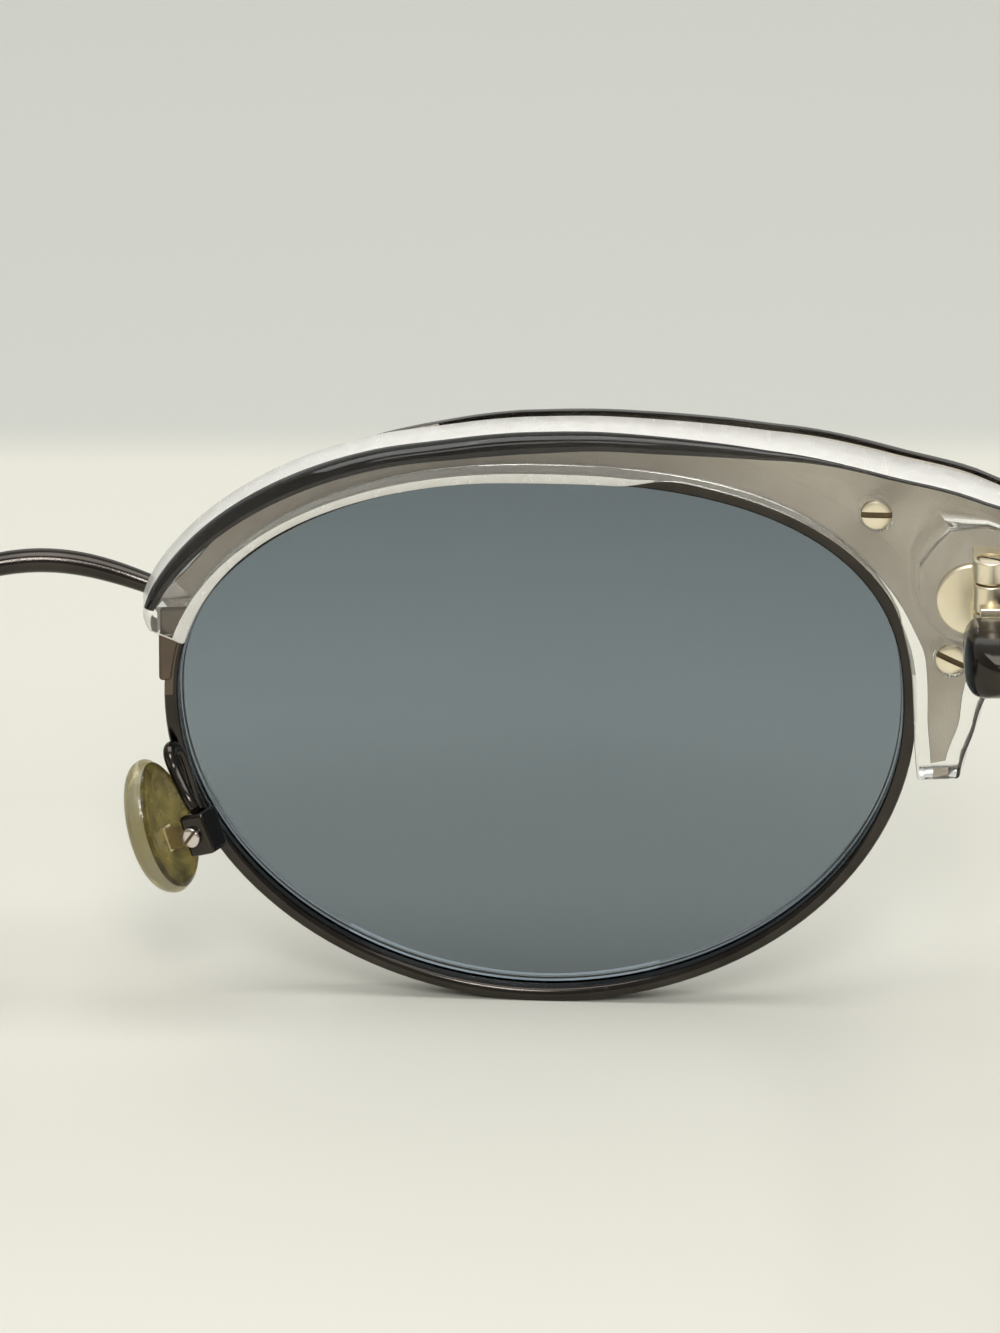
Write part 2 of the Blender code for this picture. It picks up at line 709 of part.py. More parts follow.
def block_rings():
    """The end block's rings, from inside the brow through a cove to its flat rear face."""
    middle = sum((Vector(face) for face, _ in BLOCK_CORNERS), Vector((0, 0))) / len(BLOCK_CORNERS)
    rings = []
    for cove, rise in (*BLOCK_COVE, (None, 1.0)):
        ring = []
        for face, foot in BLOCK_CORNERS:
            face, foot = Vector(face), Vector(foot)
            if cove is None:
                corner = face - (face - middle).normalized() * BLOCK_EDGE
            else:
                corner = face + (foot - face) * cove
            u, w = corner.x + LENS_HALF_WIDTH, corner.y
            low = sag(u, w) + BROW_REAR
            high = (BLOCK_REAR - u * math.sin(WRAP)) / math.cos(WRAP)
            ring.append((u, low + rise if rise < 0 else low + (high - low) * rise, w))
        rings.append(ring)
    return rings


def screw_place(place):
    out, up = BROW_SCREWS[place]
    return LENS_HALF_WIDTH + out, up


def make_brow(side):
    frame = lens_frame(side)
    rings = [brow_section(angle) for angle in slices_to(BROW_END)]
    brow = solid(side + "_brow", rings, frame, "clear_acetate", smooth=True)
    join(brow, solid(side + "_end_block", block_rings(), frame))
    cut(brow, solid(side + "_lock_pocket_cutter", lock_rings(LOCK_POCKET_FIT), frame))
    for place in BROW_SCREWS:
        u, w = screw_place(place)
        sunk = BROW_REAR - BROW_HEAD_SINK - BROW_HEAD_HEIGHT
        wide, narrow = BROW_HEAD_RADIUS + COUNTERBORE_FIT, POST_RADIUS + POST_FIT
        profile = ((narrow, BROW_FRONT - 1), (narrow, sunk), (wide, sunk), (wide, BROW_REAR + 3))
        rings = turned_rings(profile, (u, sag(u, w), w), (0, 1, 0))
        cut(brow, solid(side + "_" + place + "_counterbore_cutter", rings, frame))
    profile = ((STUD_RADIUS + STUD_FIT, -STUD_LENGTH - 2 * STUD_FIT), (STUD_RADIUS + STUD_FIT, 1))
    rings = turned_rings(profile, (-DISC_INWARD, -HINGE_SETBACK, -DISC_DOWN), (0, 1, 0))
    cut(brow, solid(side + "_stud_cutter", rings, hinge_frame(side)))


def plate_section(inner, outer):
    """A slice of the trim plate between two (u, w) points, with its front edges broken."""
    inner, outer = Vector(inner), Vector(outer)
    width = (outer - inner).length
    across = (outer - inner) / width
    rear, front, edge = PLATE_REAR, PLATE_FRONT, PLATE_EDGE
    points = [(0, rear)] + [(width * share, rear) for share in SECTION_SHARES]
    points += [(width, rear), (width, front + edge), (width - edge, front)]
    points += [(width * share, front) for share in reversed(SECTION_SHARES)]
    points += [(edge, front), (0, front + edge)]
    ring = []
    for reach, depth in points:
        u, w = inner + across * reach
        ring.append((u, sag(u, w) + depth, w))
    return ring


def make_brow_plate(side):
    frame = lens_frame(side)
    base = RIM_WIDTH - PLATE_OVERLAP
    rings = []
    for angle, width in zip(PLATE_NOSE_ANGLES, PLATE_NOSE_WIDTHS):
        rings.append(plate_section(outline(angle, base), outline(angle, base + width)))
    for angle in slices_to(PLATE_END):
        inner = Vector(outline(angle, base + smooth_value(PLATE_INSETS, angle)))
        outer = brow_slice(angle)[1]
        outer += (outer - inner).normalized() * smooth_value(PLATE_PROUD, angle)
        rings.append(plate_section(inner, outer))
    plate = solid(side + "_brow_plate", rings, frame, "satin_plate", smooth=True)
    for place in BROW_SCREWS:
        u, w = screw_place(place)
        foot = (u, sag(u, w) + PLATE_REAR, w)
        post = turned_rings(((POST_RADIUS, -PLATE_THICKNESS / 2), (POST_RADIUS, POST_HEIGHT)), foot, (0, 1, 0))
        join(plate, solid(side + "_" + place + "_post", post, frame))
        bore = BROW_SCREW_RADIUS + THREAD_FIT
        rings = turned_rings(((bore, 0.05), (bore, POST_HEIGHT + 1)), foot, (0, 1, 0), 12)
        cut(plate, solid(side + "_" + place + "_post_cutter", rings, frame))


def make_brow_screws(side):
    for place in BROW_SCREWS:
        u, w = screw_place(place)
        sunk = BROW_REAR - BROW_HEAD_SINK - BROW_HEAD_HEIGHT + 0.05
        centre = (u, sag(u, w) + sunk, w)
        head = (BROW_HEAD_RADIUS, BROW_HEAD_HEIGHT)
        screw(
            side + "_" + place + "_brow_screw",
            lens_frame(side),
            "brass",
            centre,
            (0, 1, 0),
            head,
            BROW_SCREW_RADIUS,
            BROW_SCREW_LENGTH,
            BROW_SLOT_TURN[place],
        )


def knuckle_levels():
    """The lower and upper height of each of the hinge's three knuckles."""
    half = MIDDLE_KNUCKLE_HEIGHT / 2
    near, far = half + KNUCKLE_GAP, half + KNUCKLE_GAP + OUTER_KNUCKLE_HEIGHT
    return (-far, -near), (-half, half), (near, far)


def knuckle_rings(low, high, reach):
    """A knuckle round the pin with a tongue that runs to a given distance in front of it."""
    points = []
    for step in range(13):
        turn = math.pi * step / 12
        points.append((KNUCKLE_RADIUS * math.cos(turn), KNUCKLE_RADIUS * math.sin(turn)))
    points += [(-KNUCKLE_RADIUS, -reach), (KNUCKLE_RADIUS, -reach)]
    return [[(x, y, z) for x, y in points] for z in (low, high)]


def make_hinge_base(side):
    frame = hinge_frame(side)
    top = -HINGE_SETBACK + DISC_GAP + DISC_THICKNESS
    foot = -HINGE_SETBACK + DISC_GAP
    profile = (
        (STUD_RADIUS, foot - STUD_LENGTH),
        (STUD_RADIUS, foot),
        (DISC_RADIUS, foot),
        (DISC_RADIUS, top - DISC_EDGE),
        (DISC_RADIUS - DISC_EDGE, top),
    )
    rings = turned_rings(profile, (-DISC_INWARD, 0, -DISC_DOWN), (0, 1, 0), 24)
    base = solid(side + "_hinge_base", rings, frame, "brass", smooth=True)
    bottom, _, upper = knuckle_levels()
    for name, (low, high) in (("lower", bottom), ("upper", upper)):
        rings = knuckle_rings(low, high, -(top - 0.2))
        join(base, solid(side + "_" + name + "_knuckle", rings, frame))
    sunk = upper[1] - HINGE_HEAD_HEIGHT - HINGE_HEAD_FIT
    wide = HINGE_HEAD_RADIUS + HINGE_HEAD_FIT
    profile = (
        (HINGE_BORE_RADIUS, bottom[0] - 1),
        (HINGE_BORE_RADIUS, sunk),
        (wide, sunk),
        (wide, upper[1] + 1),
    )
    bore = turned_rings(profile, (0, 0, 0), (0, 0, 1), 16)
    cut(base, solid(side + "_hinge_bore_cutter", bore, frame))
    head_base = upper[1] - HINGE_HEAD_HEIGHT
    length = head_base - bottom[0]
    head = (HINGE_HEAD_RADIUS, HINGE_HEAD_HEIGHT)
    centre = (0, 0, head_base)
    screw(side + "_hinge_screw", frame, "brass", centre, (0, 0, 1), head, HINGE_SCREW_RADIUS, length, 30)


def tang_boxes(grow):
    """The tang's root beside the middle knuckle and its blade, lower down in the head, grown by a clearance."""
    half = TANG_HALF_THICKNESS + grow
    low = knuckle_levels()[1][0]
    root_top, behind = low + TANG_ROOT_HEIGHT + grow, KNUCKLE_RADIUS + 0.25 - grow
    root = box_rings((-half, 0.2, low - grow), (half, HEAD_FRONT + 0.25 + grow, root_top))
    rear = HEAD_FRONT + TANG_LENGTH + grow
    blade = box_rings((-half, behind, low - TANG_DROP - grow), (half, rear, low + 0.1 + grow))
    return root, blade


def make_temple_hinge(side):
    """The temple's part of the hinge: the middle knuckle and a tang that runs into the head."""
    frame = hinge_frame(side)
    low, high = knuckle_levels()[1]
    root, blade = tang_boxes(0)
    hinge = solid(side + "_temple_hinge", root, frame, "brass", origin=frame.translation)
    join(hinge, solid(side + "_tang_blade", blade, frame))
    knuckle = turned_rings(((KNUCKLE_RADIUS, low), (KNUCKLE_RADIUS, high)), (0, 0, 0), (0, 0, 1), 24)
    join(hinge, solid(side + "_middle_knuckle", knuckle, frame))
    bore = turned_rings(((HINGE_BORE_RADIUS, low - 1), (HINGE_BORE_RADIUS, high + 1)), (0, 0, 0), (0, 0, 1), 16)
    cut(hinge, solid(side + "_middle_bore_cutter", bore, frame))


def round_temple_ring(length, radius):
    """A round section of the temple's core wire, or of the bore it lies in."""
    chamfer = radius * (2 - math.sqrt(2))
    return temple_ring(length, radius, radius, chamfer)


def head_rings():
    """The temple's head, rounded all round and flush with the arm's outer face."""
    outer = ARM_OUTWARD + ARM_HALF_THICKNESS - 0.1
    rings = []
    for length, share in HEAD_STATIONS:
        inner = outer - (outer + HEAD_INNER) * (0.25 + 0.75 * share)
        low, high = -ARM_LOWER - HEAD_HALF_HEIGHT * share, -ARM_LOWER + HEAD_HALF_HEIGHT * share
        y = HEAD_FRONT + length
        corner = HEAD_CORNER * share
        ring = []
        for x, z in (
            (outer, low),
            (outer, high),
            (inner + corner, high),
            (inner + corner * 0.3, high - corner * 0.3),
            (inner, high - corner),
            (inner, low + corner),
            (inner + corner * 0.3, low + corner * 0.3),
            (inner + corner, low),
        ):
            ring.append((x, y, z))
        rings.append(ring)
    return rings


def make_temple_arm(side):
    frame = hinge_frame(side)
    start = -HINGE_SETBACK + DISC_GAP + DISC_THICKNESS + ARM_FRONT_GAP
    shoulder = TIP_MOUTH - SLEEVE_GAP
    half = ARM_HALF_THICKNESS
    first = ARM_FRONT_STATIONS[0]
    rings = [temple_ring(start, first[1], half - 0.15, ARM_CHAMFER + 0.1)]
    rings += [temple_ring(start + along, height, half, ARM_CHAMFER) for along, height in ARM_FRONT_STATIONS[1:]]
    rings += [temple_ring(shoulder * share, height, half, ARM_CHAMFER) for share, height in ARM_SHARE_STATIONS]
    rings.append(temple_ring(shoulder, ARM_SHARE_STATIONS[-1][1], half, ARM_CHAMFER))
    lengths = [shoulder + 0.01, BEND_START, *BEND_LENGTHS, CORE_END - CORE_LAST_SPAN, CORE_END]
    rings += [round_temple_ring(length, CORE_RADIUS) for length in lengths]
    arm = solid(side + "_temple_arm", rings, frame, "gunmetal", origin=frame.translation, smooth=True)
    join(arm, solid(side + "_temple_head", head_rings(), frame))
    for name, rings in zip(("root", "blade"), tang_boxes(TANG_FIT)):
        cut(arm, solid(side + "_tang_" + name + "_cutter", rings, frame))


def tip_half_height(length):
    """The tip's half height at a length along the temple, between its stations."""
    along = length - BEND_START
    for (start, low), (end, high) in zip(TIP_STATIONS, TIP_STATIONS[1:]):
        if along <= end:
            return low + (high - low) * max(along - start, 0) / (end - start)
    return TIP_STATIONS[-1][1]


def make_temple_tip(side):
    frame = hinge_frame(side)
    lengths = [CORE_END + SLEEVE_GAP, CORE_END - CORE_LAST_SPAN, *reversed(BEND_LENGTHS), BEND_START, TIP_MOUTH]
    rings = [round_temple_ring(length, CORE_RADIUS + CORE_FIT) for length in lengths]
    end = TEMPLE_LENGTH
    widest = BEND_START + TIP_STATIONS[-2][0]
    stations = [BEND_START + along for along, _ in TIP_STATIONS[1:3]] + BEND_LENGTHS + [widest, end - 8.0]
    mouth = TIP_HALF_THICKNESS - TIP_MOUTH_THINNING
    rings.append(temple_ring(TIP_MOUTH, tip_half_height(TIP_MOUTH), mouth, TIP_CHAMFER))
    for length in stations:
        rings.append(temple_ring(length, tip_half_height(length), TIP_HALF_THICKNESS, TIP_CHAMFER))
    for length, lower, thinner, chamfer in TIP_END_STATIONS:
        height = tip_half_height(end) - lower
        rings.append(temple_ring(end - length, height, TIP_HALF_THICKNESS - thinner, chamfer))
    tip = solid(side + "_temple_tip", rings, frame, "clear_acetate", origin=frame.translation, smooth=True)
    x, y = HINGE_X, FRONT_Y + HINGE_Y
    floor = box_rings((x - 20, y + TEMPLE_LENGTH / 2, -20), (x + 20, y + TEMPLE_LENGTH + 20, 0))
    cut(tip, solid(side + "_floor_cutter", floor, mirrored(side)))


def smooth_path(points, steps):
    """A curve through the points, a few steps to each span."""
    path = []
    last = len(points) - 1
    for index in range(last):
        before, start = Vector(points[max(index - 1, 0)]), Vector(points[index])
        end, after = Vector(points[index + 1]), Vector(points[min(index + 2, last)])
        for step in range(steps):
            t = step / steps
            path.append(
                0.5
                * (
                    2 * start
                    + (end - before) * t
                    + (2 * before - 5 * start + 4 * end - after) * t**2
                    + (3 * start - before - 3 * end + after) * t**3
                )
            )
    path.append(Vector(points[-1]))
    return path


def wire_rings(path, radii, sides):
    """Round sections square to a path, carried along it without twisting, with broken ends."""
    rings = []
    side = None
    for index, point in enumerate(path):
        ahead = (path[min(index + 1, len(path) - 1)] - path[max(index - 1, 0)]).normalized()
        side = ahead.orthogonal().normalized() if side is None else (side - ahead * side.dot(ahead)).normalized()
        other = ahead.cross(side)
        angles = [2 * math.pi * (step + 0.5) / sides for step in range(sides)]
        radius = radii[index]
        ring = [point + (side * math.cos(a) + other * math.sin(a)) * radius for a in angles]
        if index in (0, len(path) - 1):
            out = -ahead if index == 0 else ahead
            small = [point + out * radius * 0.25 + (corner - point) * 0.7 for corner in ring]
            rings += [small, ring] if index == 0 else [ring, small]
        else:
            rings.append(ring)
    return rings


def make_bridge():
    foot_x, _, foot_z = from_lens(BRIDGE_FOOT_U, sag(BRIDGE_FOOT_U, BRIDGE_FOOT_UP), BRIDGE_FOOT_UP)
    path, radii = [], []
    for step in range(BRIDGE_STEPS + 1):
        share = 2 * step / BRIDGE_STEPS - 1
        lift = math.cos(share * math.pi / 2) ** 0.9 if abs(share) < 1 else 0.0
        y = FRONT_Y + BRIDGE_Y - BRIDGE_BOW * (1 - share**2) ** 1.5
        path.append(Vector((foot_x * share, y, foot_z + BRIDGE_RISE * lift)))
        radii.append(BRIDGE_RADIUS + (BRIDGE_FOOT_RADIUS - BRIDGE_RADIUS) * share**2)
    solid("bridge", wire_rings(path, radii, 10), Matrix.Scale(MM, 4), "gunmetal", smooth=True)


def pad_arm_rings(radius):
    points = []
    for out, w, depth in PAD_ARM_PATH:
        u = nasal_edge(w) - out
        points.append((u, sag(u, w) + depth, w))
    path = smooth_path(points, 2)
    return wire_rings(path, [radius] * len(path), 8)


def make_pad_arm(side):
    solid(side + "_pad_arm", pad_arm_rings(PAD_ARM_RADIUS), lens_frame(side), "gunmetal", smooth=True)


def make_pad_box(side):
    """The box the pad hangs in: two walls and a back, with the screw across them."""
    frame = pad_frame(side)
    half, long = BOX_HALF_WIDTH, BOX_HALF_LENGTH
    rings = []
    for z, shrink in ((-long, BOX_EDGE), (-long + BOX_EDGE, 0), (long - BOX_EDGE, 0), (long, BOX_EDGE)):
        back, front, wide = -BOX_BACK + shrink, BOX_FRONT - shrink, half - shrink
        rings.append([(back, -wide, z), (front, -wide, z), (front, wide, z), (back, wide, z)])
    box = solid(side + "_pad_box", rings, frame, "gunmetal")
    slot = box_rings((-BOX_SLOT_BACK, -BOX_SLOT_HALF, -long - 1), (BOX_FRONT + 1, BOX_SLOT_HALF, long + 1))
    cut(box, solid(side + "_box_slot_cutter", slot, frame))
    bore = PAD_SCREW_RADIUS + PAD_BORE_FIT
    rings = turned_rings(((bore, -half - 1), (bore, half + 1)), (0, 0, 0), (0, 1, 0), 12)
    cut(box, solid(side + "_box_bore_cutter", rings, frame))
    notch = pad_arm_rings(PAD_ARM_RADIUS + PAD_BORE_FIT)
    cut(box, solid(side + "_box_notch_cutter", notch, lens_frame(side)))
    head = (PAD_HEAD_RADIUS, PAD_HEAD_HEIGHT)
    centre = (0, half + 0.05, 0)
    screw(side + "_pad_screw", frame, "nickel", centre, (0, 1, 0), head, PAD_SCREW_RADIUS, 2 * half, 35)


def make_pad_insert(side):
    frame = pad_frame(side)
    radius = TAB_HALF_LENGTH
    points = []
    for step in range(9):
        turn = math.pi * (0.5 + step / 8)
        points.append((radius * math.cos(turn) * 0.85, radius * math.sin(turn)))
    points += [(TAB_DEPTH, -radius), (TAB_DEPTH, radius)]
    rings = [[(x, y, z) for x, z in points] for y in (-TAB_HALF, TAB_HALF)]
    tab = solid(side + "_pad_insert", rings, frame, "nickel", origin=frame.translation)
    bore = PAD_SCREW_RADIUS + PAD_BORE_FIT
    hole = turned_rings(((bore, -2), (bore, 2)), (0, 0, 0), (0, 1, 0), 12)
    cut(tab, solid(side + "_tab_bore_cutter", hole, frame))


def make_nose_pad(side):
    """An oval pad with a rounded rim, dished at the back round the tab."""
    frame = pad_frame(side)
    back, skin = PAD_BACK, PAD_BACK + PAD_THICKNESS
    profile = (
        (0.30, back + 0.15),
        (0.62, back + 0.05),
        (0.74, back - PAD_LIP),
        (0.88, back - PAD_LIP - 0.1),
        (0.97, back + 0.1),
        (1.00, back + 0.6),
        (0.96, back + 1.15),
        (0.84, skin - 0.3),
        (0.55, skin - 0.08),
        (0.20, skin),
    )
    rings = []
    for scale, depth in profile:
        ring = []
        for step in range(PAD_SIDES):
            turn = 2 * math.pi * step / PAD_SIDES
            narrow = 1 + PAD_TAPER * math.sin(turn)
            along = PAD_HALF_LENGTH * scale * math.sin(turn) + PAD_RISE
            across = PAD_HALF_WIDTH * scale * math.cos(turn) / narrow
            ring.append((depth, across, along))
        rings.append(ring)
    pad = solid(side + "_nose_pad", rings, frame, "silicone", origin=frame.translation, smooth=True)
    grow = PAD_POCKET_FIT
    low = (0.0, -TAB_HALF - grow, -TAB_HALF_LENGTH - grow)
    high = (TAB_DEPTH + grow, TAB_HALF + grow, TAB_HALF_LENGTH + grow)
    cut(pad, solid(side + "_tab_pocket_cutter", box_rings(low, high), frame))


for leftover in list(bpy.data.objects):
    bpy.data.objects.remove(leftover)

for side_name in SIDES:
    make_lens(side_name)
    make_eyewire(side_name)
    make_brow(side_name)
    make_brow_plate(side_name)
    make_brow_screws(side_name)
    make_hinge_base(side_name)
    make_temple_hinge(side_name)
    make_temple_arm(side_name)
    make_temple_tip(side_name)
    make_pad_arm(side_name)
    make_pad_box(side_name)
    make_pad_insert(side_name)
    make_nose_pad(side_name)
make_bridge()
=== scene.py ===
# %% [markdown]
# # Browline sunglasses, seen from the wearer's side
#
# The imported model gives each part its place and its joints. This lesson dresses it: it models a fine
# version of every part, gives each its own finish, and sets them on a pale table in soft light.

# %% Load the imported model
import json
import math

import bmesh
import bpy
from mathutils import Matrix, Vector
from mathutils.kdtree import KDTree

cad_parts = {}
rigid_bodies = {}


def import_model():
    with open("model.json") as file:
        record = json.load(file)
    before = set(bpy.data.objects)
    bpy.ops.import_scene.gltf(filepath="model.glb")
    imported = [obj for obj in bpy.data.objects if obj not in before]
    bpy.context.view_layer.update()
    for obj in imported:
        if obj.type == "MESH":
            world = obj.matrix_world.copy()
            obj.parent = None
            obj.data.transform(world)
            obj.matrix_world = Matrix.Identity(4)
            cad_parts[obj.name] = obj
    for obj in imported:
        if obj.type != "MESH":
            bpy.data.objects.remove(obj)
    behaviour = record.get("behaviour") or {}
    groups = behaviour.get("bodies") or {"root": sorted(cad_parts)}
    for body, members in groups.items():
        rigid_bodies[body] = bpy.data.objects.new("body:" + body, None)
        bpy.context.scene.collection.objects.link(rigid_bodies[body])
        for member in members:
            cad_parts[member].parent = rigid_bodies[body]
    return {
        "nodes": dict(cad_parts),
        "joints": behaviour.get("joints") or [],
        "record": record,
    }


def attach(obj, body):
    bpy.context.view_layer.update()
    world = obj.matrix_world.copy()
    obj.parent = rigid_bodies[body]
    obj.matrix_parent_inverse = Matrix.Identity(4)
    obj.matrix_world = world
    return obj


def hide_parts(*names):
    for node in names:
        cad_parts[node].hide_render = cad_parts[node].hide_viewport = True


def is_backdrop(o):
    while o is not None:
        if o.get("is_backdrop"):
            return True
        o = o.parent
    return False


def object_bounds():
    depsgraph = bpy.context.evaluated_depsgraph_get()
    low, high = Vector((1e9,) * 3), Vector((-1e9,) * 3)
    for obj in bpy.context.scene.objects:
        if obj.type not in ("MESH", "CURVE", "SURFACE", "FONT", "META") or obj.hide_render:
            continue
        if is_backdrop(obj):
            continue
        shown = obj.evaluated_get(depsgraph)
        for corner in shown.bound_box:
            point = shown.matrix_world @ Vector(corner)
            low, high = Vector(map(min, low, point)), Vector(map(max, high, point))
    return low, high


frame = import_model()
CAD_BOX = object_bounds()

for leftover in [item for item in bpy.data.objects if item.name in ("Cube", "Light", "Camera")]:
    bpy.data.objects.remove(leftover)

BODY_OF = {}
for body, nodes in frame["record"]["behaviour"]["bodies"].items():
    for node in nodes:
        BODY_OF[node] = body
SLOT_OF = {part["node"]: part["material_slot"] for part in frame["record"]["subparts"]}
PIN_OF = {joint["child"]: Vector(joint["pos_m"]) * 1000 for joint in frame["joints"]}

# %% [markdown]
# ## The lens sets everything
#
# The makers of such frames start from the lens: its outline and the sphere it is ground to. A rim, a brow
# and a trim plate all follow that outline. A superellipse gives the outline with one number for how
# square each part of it is. Drawing it point by point by hand would also work, but then nothing else
# could follow it. All sizes here are millimetres: u runs out towards the temple, w up from the lens's
# widest line, and a depth runs back from the sphere.

# %% The outline and the sphere
LENS_HALF_WIDTH = 25.5
LENS_RISE = 15.8
LENS_FALL = 22.1
TOP_NASAL_POWER = 2.2
TOP_TEMPLE_POWER = 2.6
BOTTOM_POWER = 1.97
LENS_RADIUS = 100.0
LENS_MIDDLE = (LENS_RISE - LENS_FALL) / 2
BRIDGE_SIZE = 20.0
WRAP = math.radians(4.0)


def sag(u, w):
    """How far the lens's sphere has curved back at a point."""
    return LENS_RADIUS - math.sqrt(LENS_RADIUS**2 - u**2 - (w - LENS_MIDDLE) ** 2)


def outline(degrees, offset=0.0):
    """The point (u, w) on the lens's edge at an angle, moved outwards by the offset."""
    cos, sin = math.cos(math.radians(degrees)), math.sin(math.radians(degrees))
    if sin < 0:
        power, height = BOTTOM_POWER, LENS_FALL
    else:
        power, height = (TOP_TEMPLE_POWER if cos > 0 else TOP_NASAL_POWER), LENS_RISE
    u = math.copysign(LENS_HALF_WIDTH * abs(cos) ** (2 / power), cos)
    w = math.copysign(height * abs(sin) ** (2 / power), sin)
    across = math.copysign(abs(u / LENS_HALF_WIDTH) ** (power - 1) / LENS_HALF_WIDTH, u)
    upward = math.copysign(abs(w / height) ** (power - 1) / height, w)
    out = Vector((across, upward)).normalized()
    return u + out.x * offset, w + out.y * offset


def nose_edge(w):
    """The u of the lens's edge at the nose, at a height above or below its widest line."""
    power, height = (TOP_NASAL_POWER, LENS_RISE) if w > 0 else (BOTTOM_POWER, LENS_FALL)
    return -LENS_HALF_WIDTH * (1 - abs(w / height) ** power) ** (1 / power)


def edge_point(angle, offset, depth):
    """A point beside the lens's edge, at a depth behind the sphere."""
    u, w = outline(angle, offset)
    return u, sag(u, w) + depth, w


print("lens", 2 * LENS_HALF_WIDTH, "x", round(LENS_RISE + LENS_FALL, 1), "mm, its edge curved back by",
      round(sag(LENS_HALF_WIDTH, 0), 2), "mm")

# %% [markdown]
# ## Places on the frame
#
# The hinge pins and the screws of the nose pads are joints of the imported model, so they are read from it.
# The lens frame is measured back from the pin. Everything but the bridge is modelled once, on the
# wearer's right, and mirrored.

# %% Lens frame, hinge frame and pad frame of the right half
HINGE_UP = 11.85
HINGE_BACK = 16.227854
HINGE_SETBACK = 3.0
PAD_TURN = WRAP + math.radians(24.0)
PAD_LEAN = math.radians(20.0)
LENS_X = BRIDGE_SIZE / 2 + LENS_HALF_WIDTH

left_pin, left_pad = PIN_OF["left_temple"], PIN_OF["left_pad"]
FRONT_Y = left_pin.y - HINGE_BACK
LENS_Z = left_pin.z - HINGE_UP
TO_RIGHT = Matrix.Diagonal((-0.001, 0.001, 0.001, 1))
LENS_FRAME = TO_RIGHT @ Matrix.Translation((LENS_X, FRONT_Y, LENS_Z)) @ Matrix.Rotation(WRAP, 4, "Z")
HINGE_FRAME = TO_RIGHT @ Matrix.Translation(left_pin)

outwards = Vector((math.cos(PAD_TURN), math.sin(PAD_TURN), 0))
backwards = Vector((-math.sin(PAD_TURN), math.cos(PAD_TURN), 0))
towards_skin = -(outwards * math.cos(PAD_LEAN) + Vector((0, 0, math.sin(PAD_LEAN))))
along_pad = Vector((0, 0, math.cos(PAD_LEAN))) - outwards * math.sin(PAD_LEAN)
pad_axes = Matrix((towards_skin, backwards, along_pad)).transposed().to_4x4()
PAD_FRAME = TO_RIGHT @ Matrix.Translation(left_pad) @ pad_axes
print("sphere's front at y", round(FRONT_Y, 2), "widest line at z", round(LENS_Z, 2))

# %% [markdown]
# ## Finishes
#
# A finish is never one flat colour. Plating has patches and hair scratches, sandblasted metal has a
# grain, and clear plastic has a faint waviness. The wear that several finishes share is a node group with
# its own inputs, built once. It reads object coordinates, so that it stays on the piece when the camera
# or a joint moves.

# %% A node group for patches, hair scratches and grain
WEAR_SCALES = {"Patch Scale": 180.0, "Scratch Scale": 900.0, "Grain Scale": 9000.0}
WEAR_MASKS = ("Patches", "Scratches", "Grain")
SCRATCH_TURN = (0.3, 0.5, 0.7)
SCRATCH_STRETCH = (1.0, 0.06, 0.5)


def add(tree, kind, **values):
    """Adds a node. A name in small letters is a setting of it, any other an input, which is set or linked."""
    node = tree.nodes.new("ShaderNode" + kind)
    for name, value in values.items():
        if name.islower():
            setattr(node, name, value)
        elif isinstance(value, bpy.types.NodeSocket):
            tree.links.new(value, node.inputs[name.replace("_", " ")])
        else:
            node.inputs[name.replace("_", " ")].default_value = value
    return node


def wear_group():
    """Masks of patches, hair scratches and grain, each with its own scale."""
    group = bpy.data.node_groups.new("handling wear", "ShaderNodeTree")
    for name, value in WEAR_SCALES.items():
        socket = group.interface.new_socket(name=name, in_out="INPUT", socket_type="NodeSocketFloat")
        socket.default_value = value
    for name in WEAR_MASKS:
        group.interface.new_socket(name=name, in_out="OUTPUT", socket_type="NodeSocketFloat")
    come, leave = group.nodes.new("NodeGroupInput"), group.nodes.new("NodeGroupOutput")
    patch_scale, scratch_scale, grain_scale = (come.outputs[name] for name in WEAR_SCALES)
    place = add(group, "TexCoord").outputs["Object"]
    patches = add(group, "TexNoise", Vector=place, Scale=patch_scale, Detail=4.0)
    drawn = add(group, "Mapping", Vector=place, Rotation=SCRATCH_TURN, Scale=SCRATCH_STRETCH)
    lines = add(group, "TexNoise", Vector=drawn.outputs["Vector"], Scale=scratch_scale, Detail=2.0)
    sharp = add(group, "MapRange", Value=lines.outputs["Fac"], From_Min=0.62, From_Max=0.74)
    grain = add(group, "TexNoise", Vector=place, Scale=grain_scale, Detail=1.0)
    masks = (patches.outputs["Fac"], sharp.outputs["Result"], grain.outputs["Fac"])
    for name, mask in zip(WEAR_MASKS, masks):
        group.links.new(mask, leave.inputs[name])
    return group


WEAR = wear_group()
print("wear group puts out", [item.name for item in WEAR.interface.items_tree if item.in_out == "OUTPUT"])

# %% [markdown]
# One helper builds a finish from it: two tones mixed by the patches, roughness between two values with
# the scratches on top, and a bump from the grain. The numbers that stay the same all over are set on the
# shader itself.

# %% Building a finish
TONE_SPREAD = (-0.6, 1.6)


def between(tree, mask, low, high):
    """A value that runs from low to high as a mask runs from 0 to 1."""
    return add(tree, "MapRange", Value=mask, To_Min=low, To_Max=high).outputs["Result"]


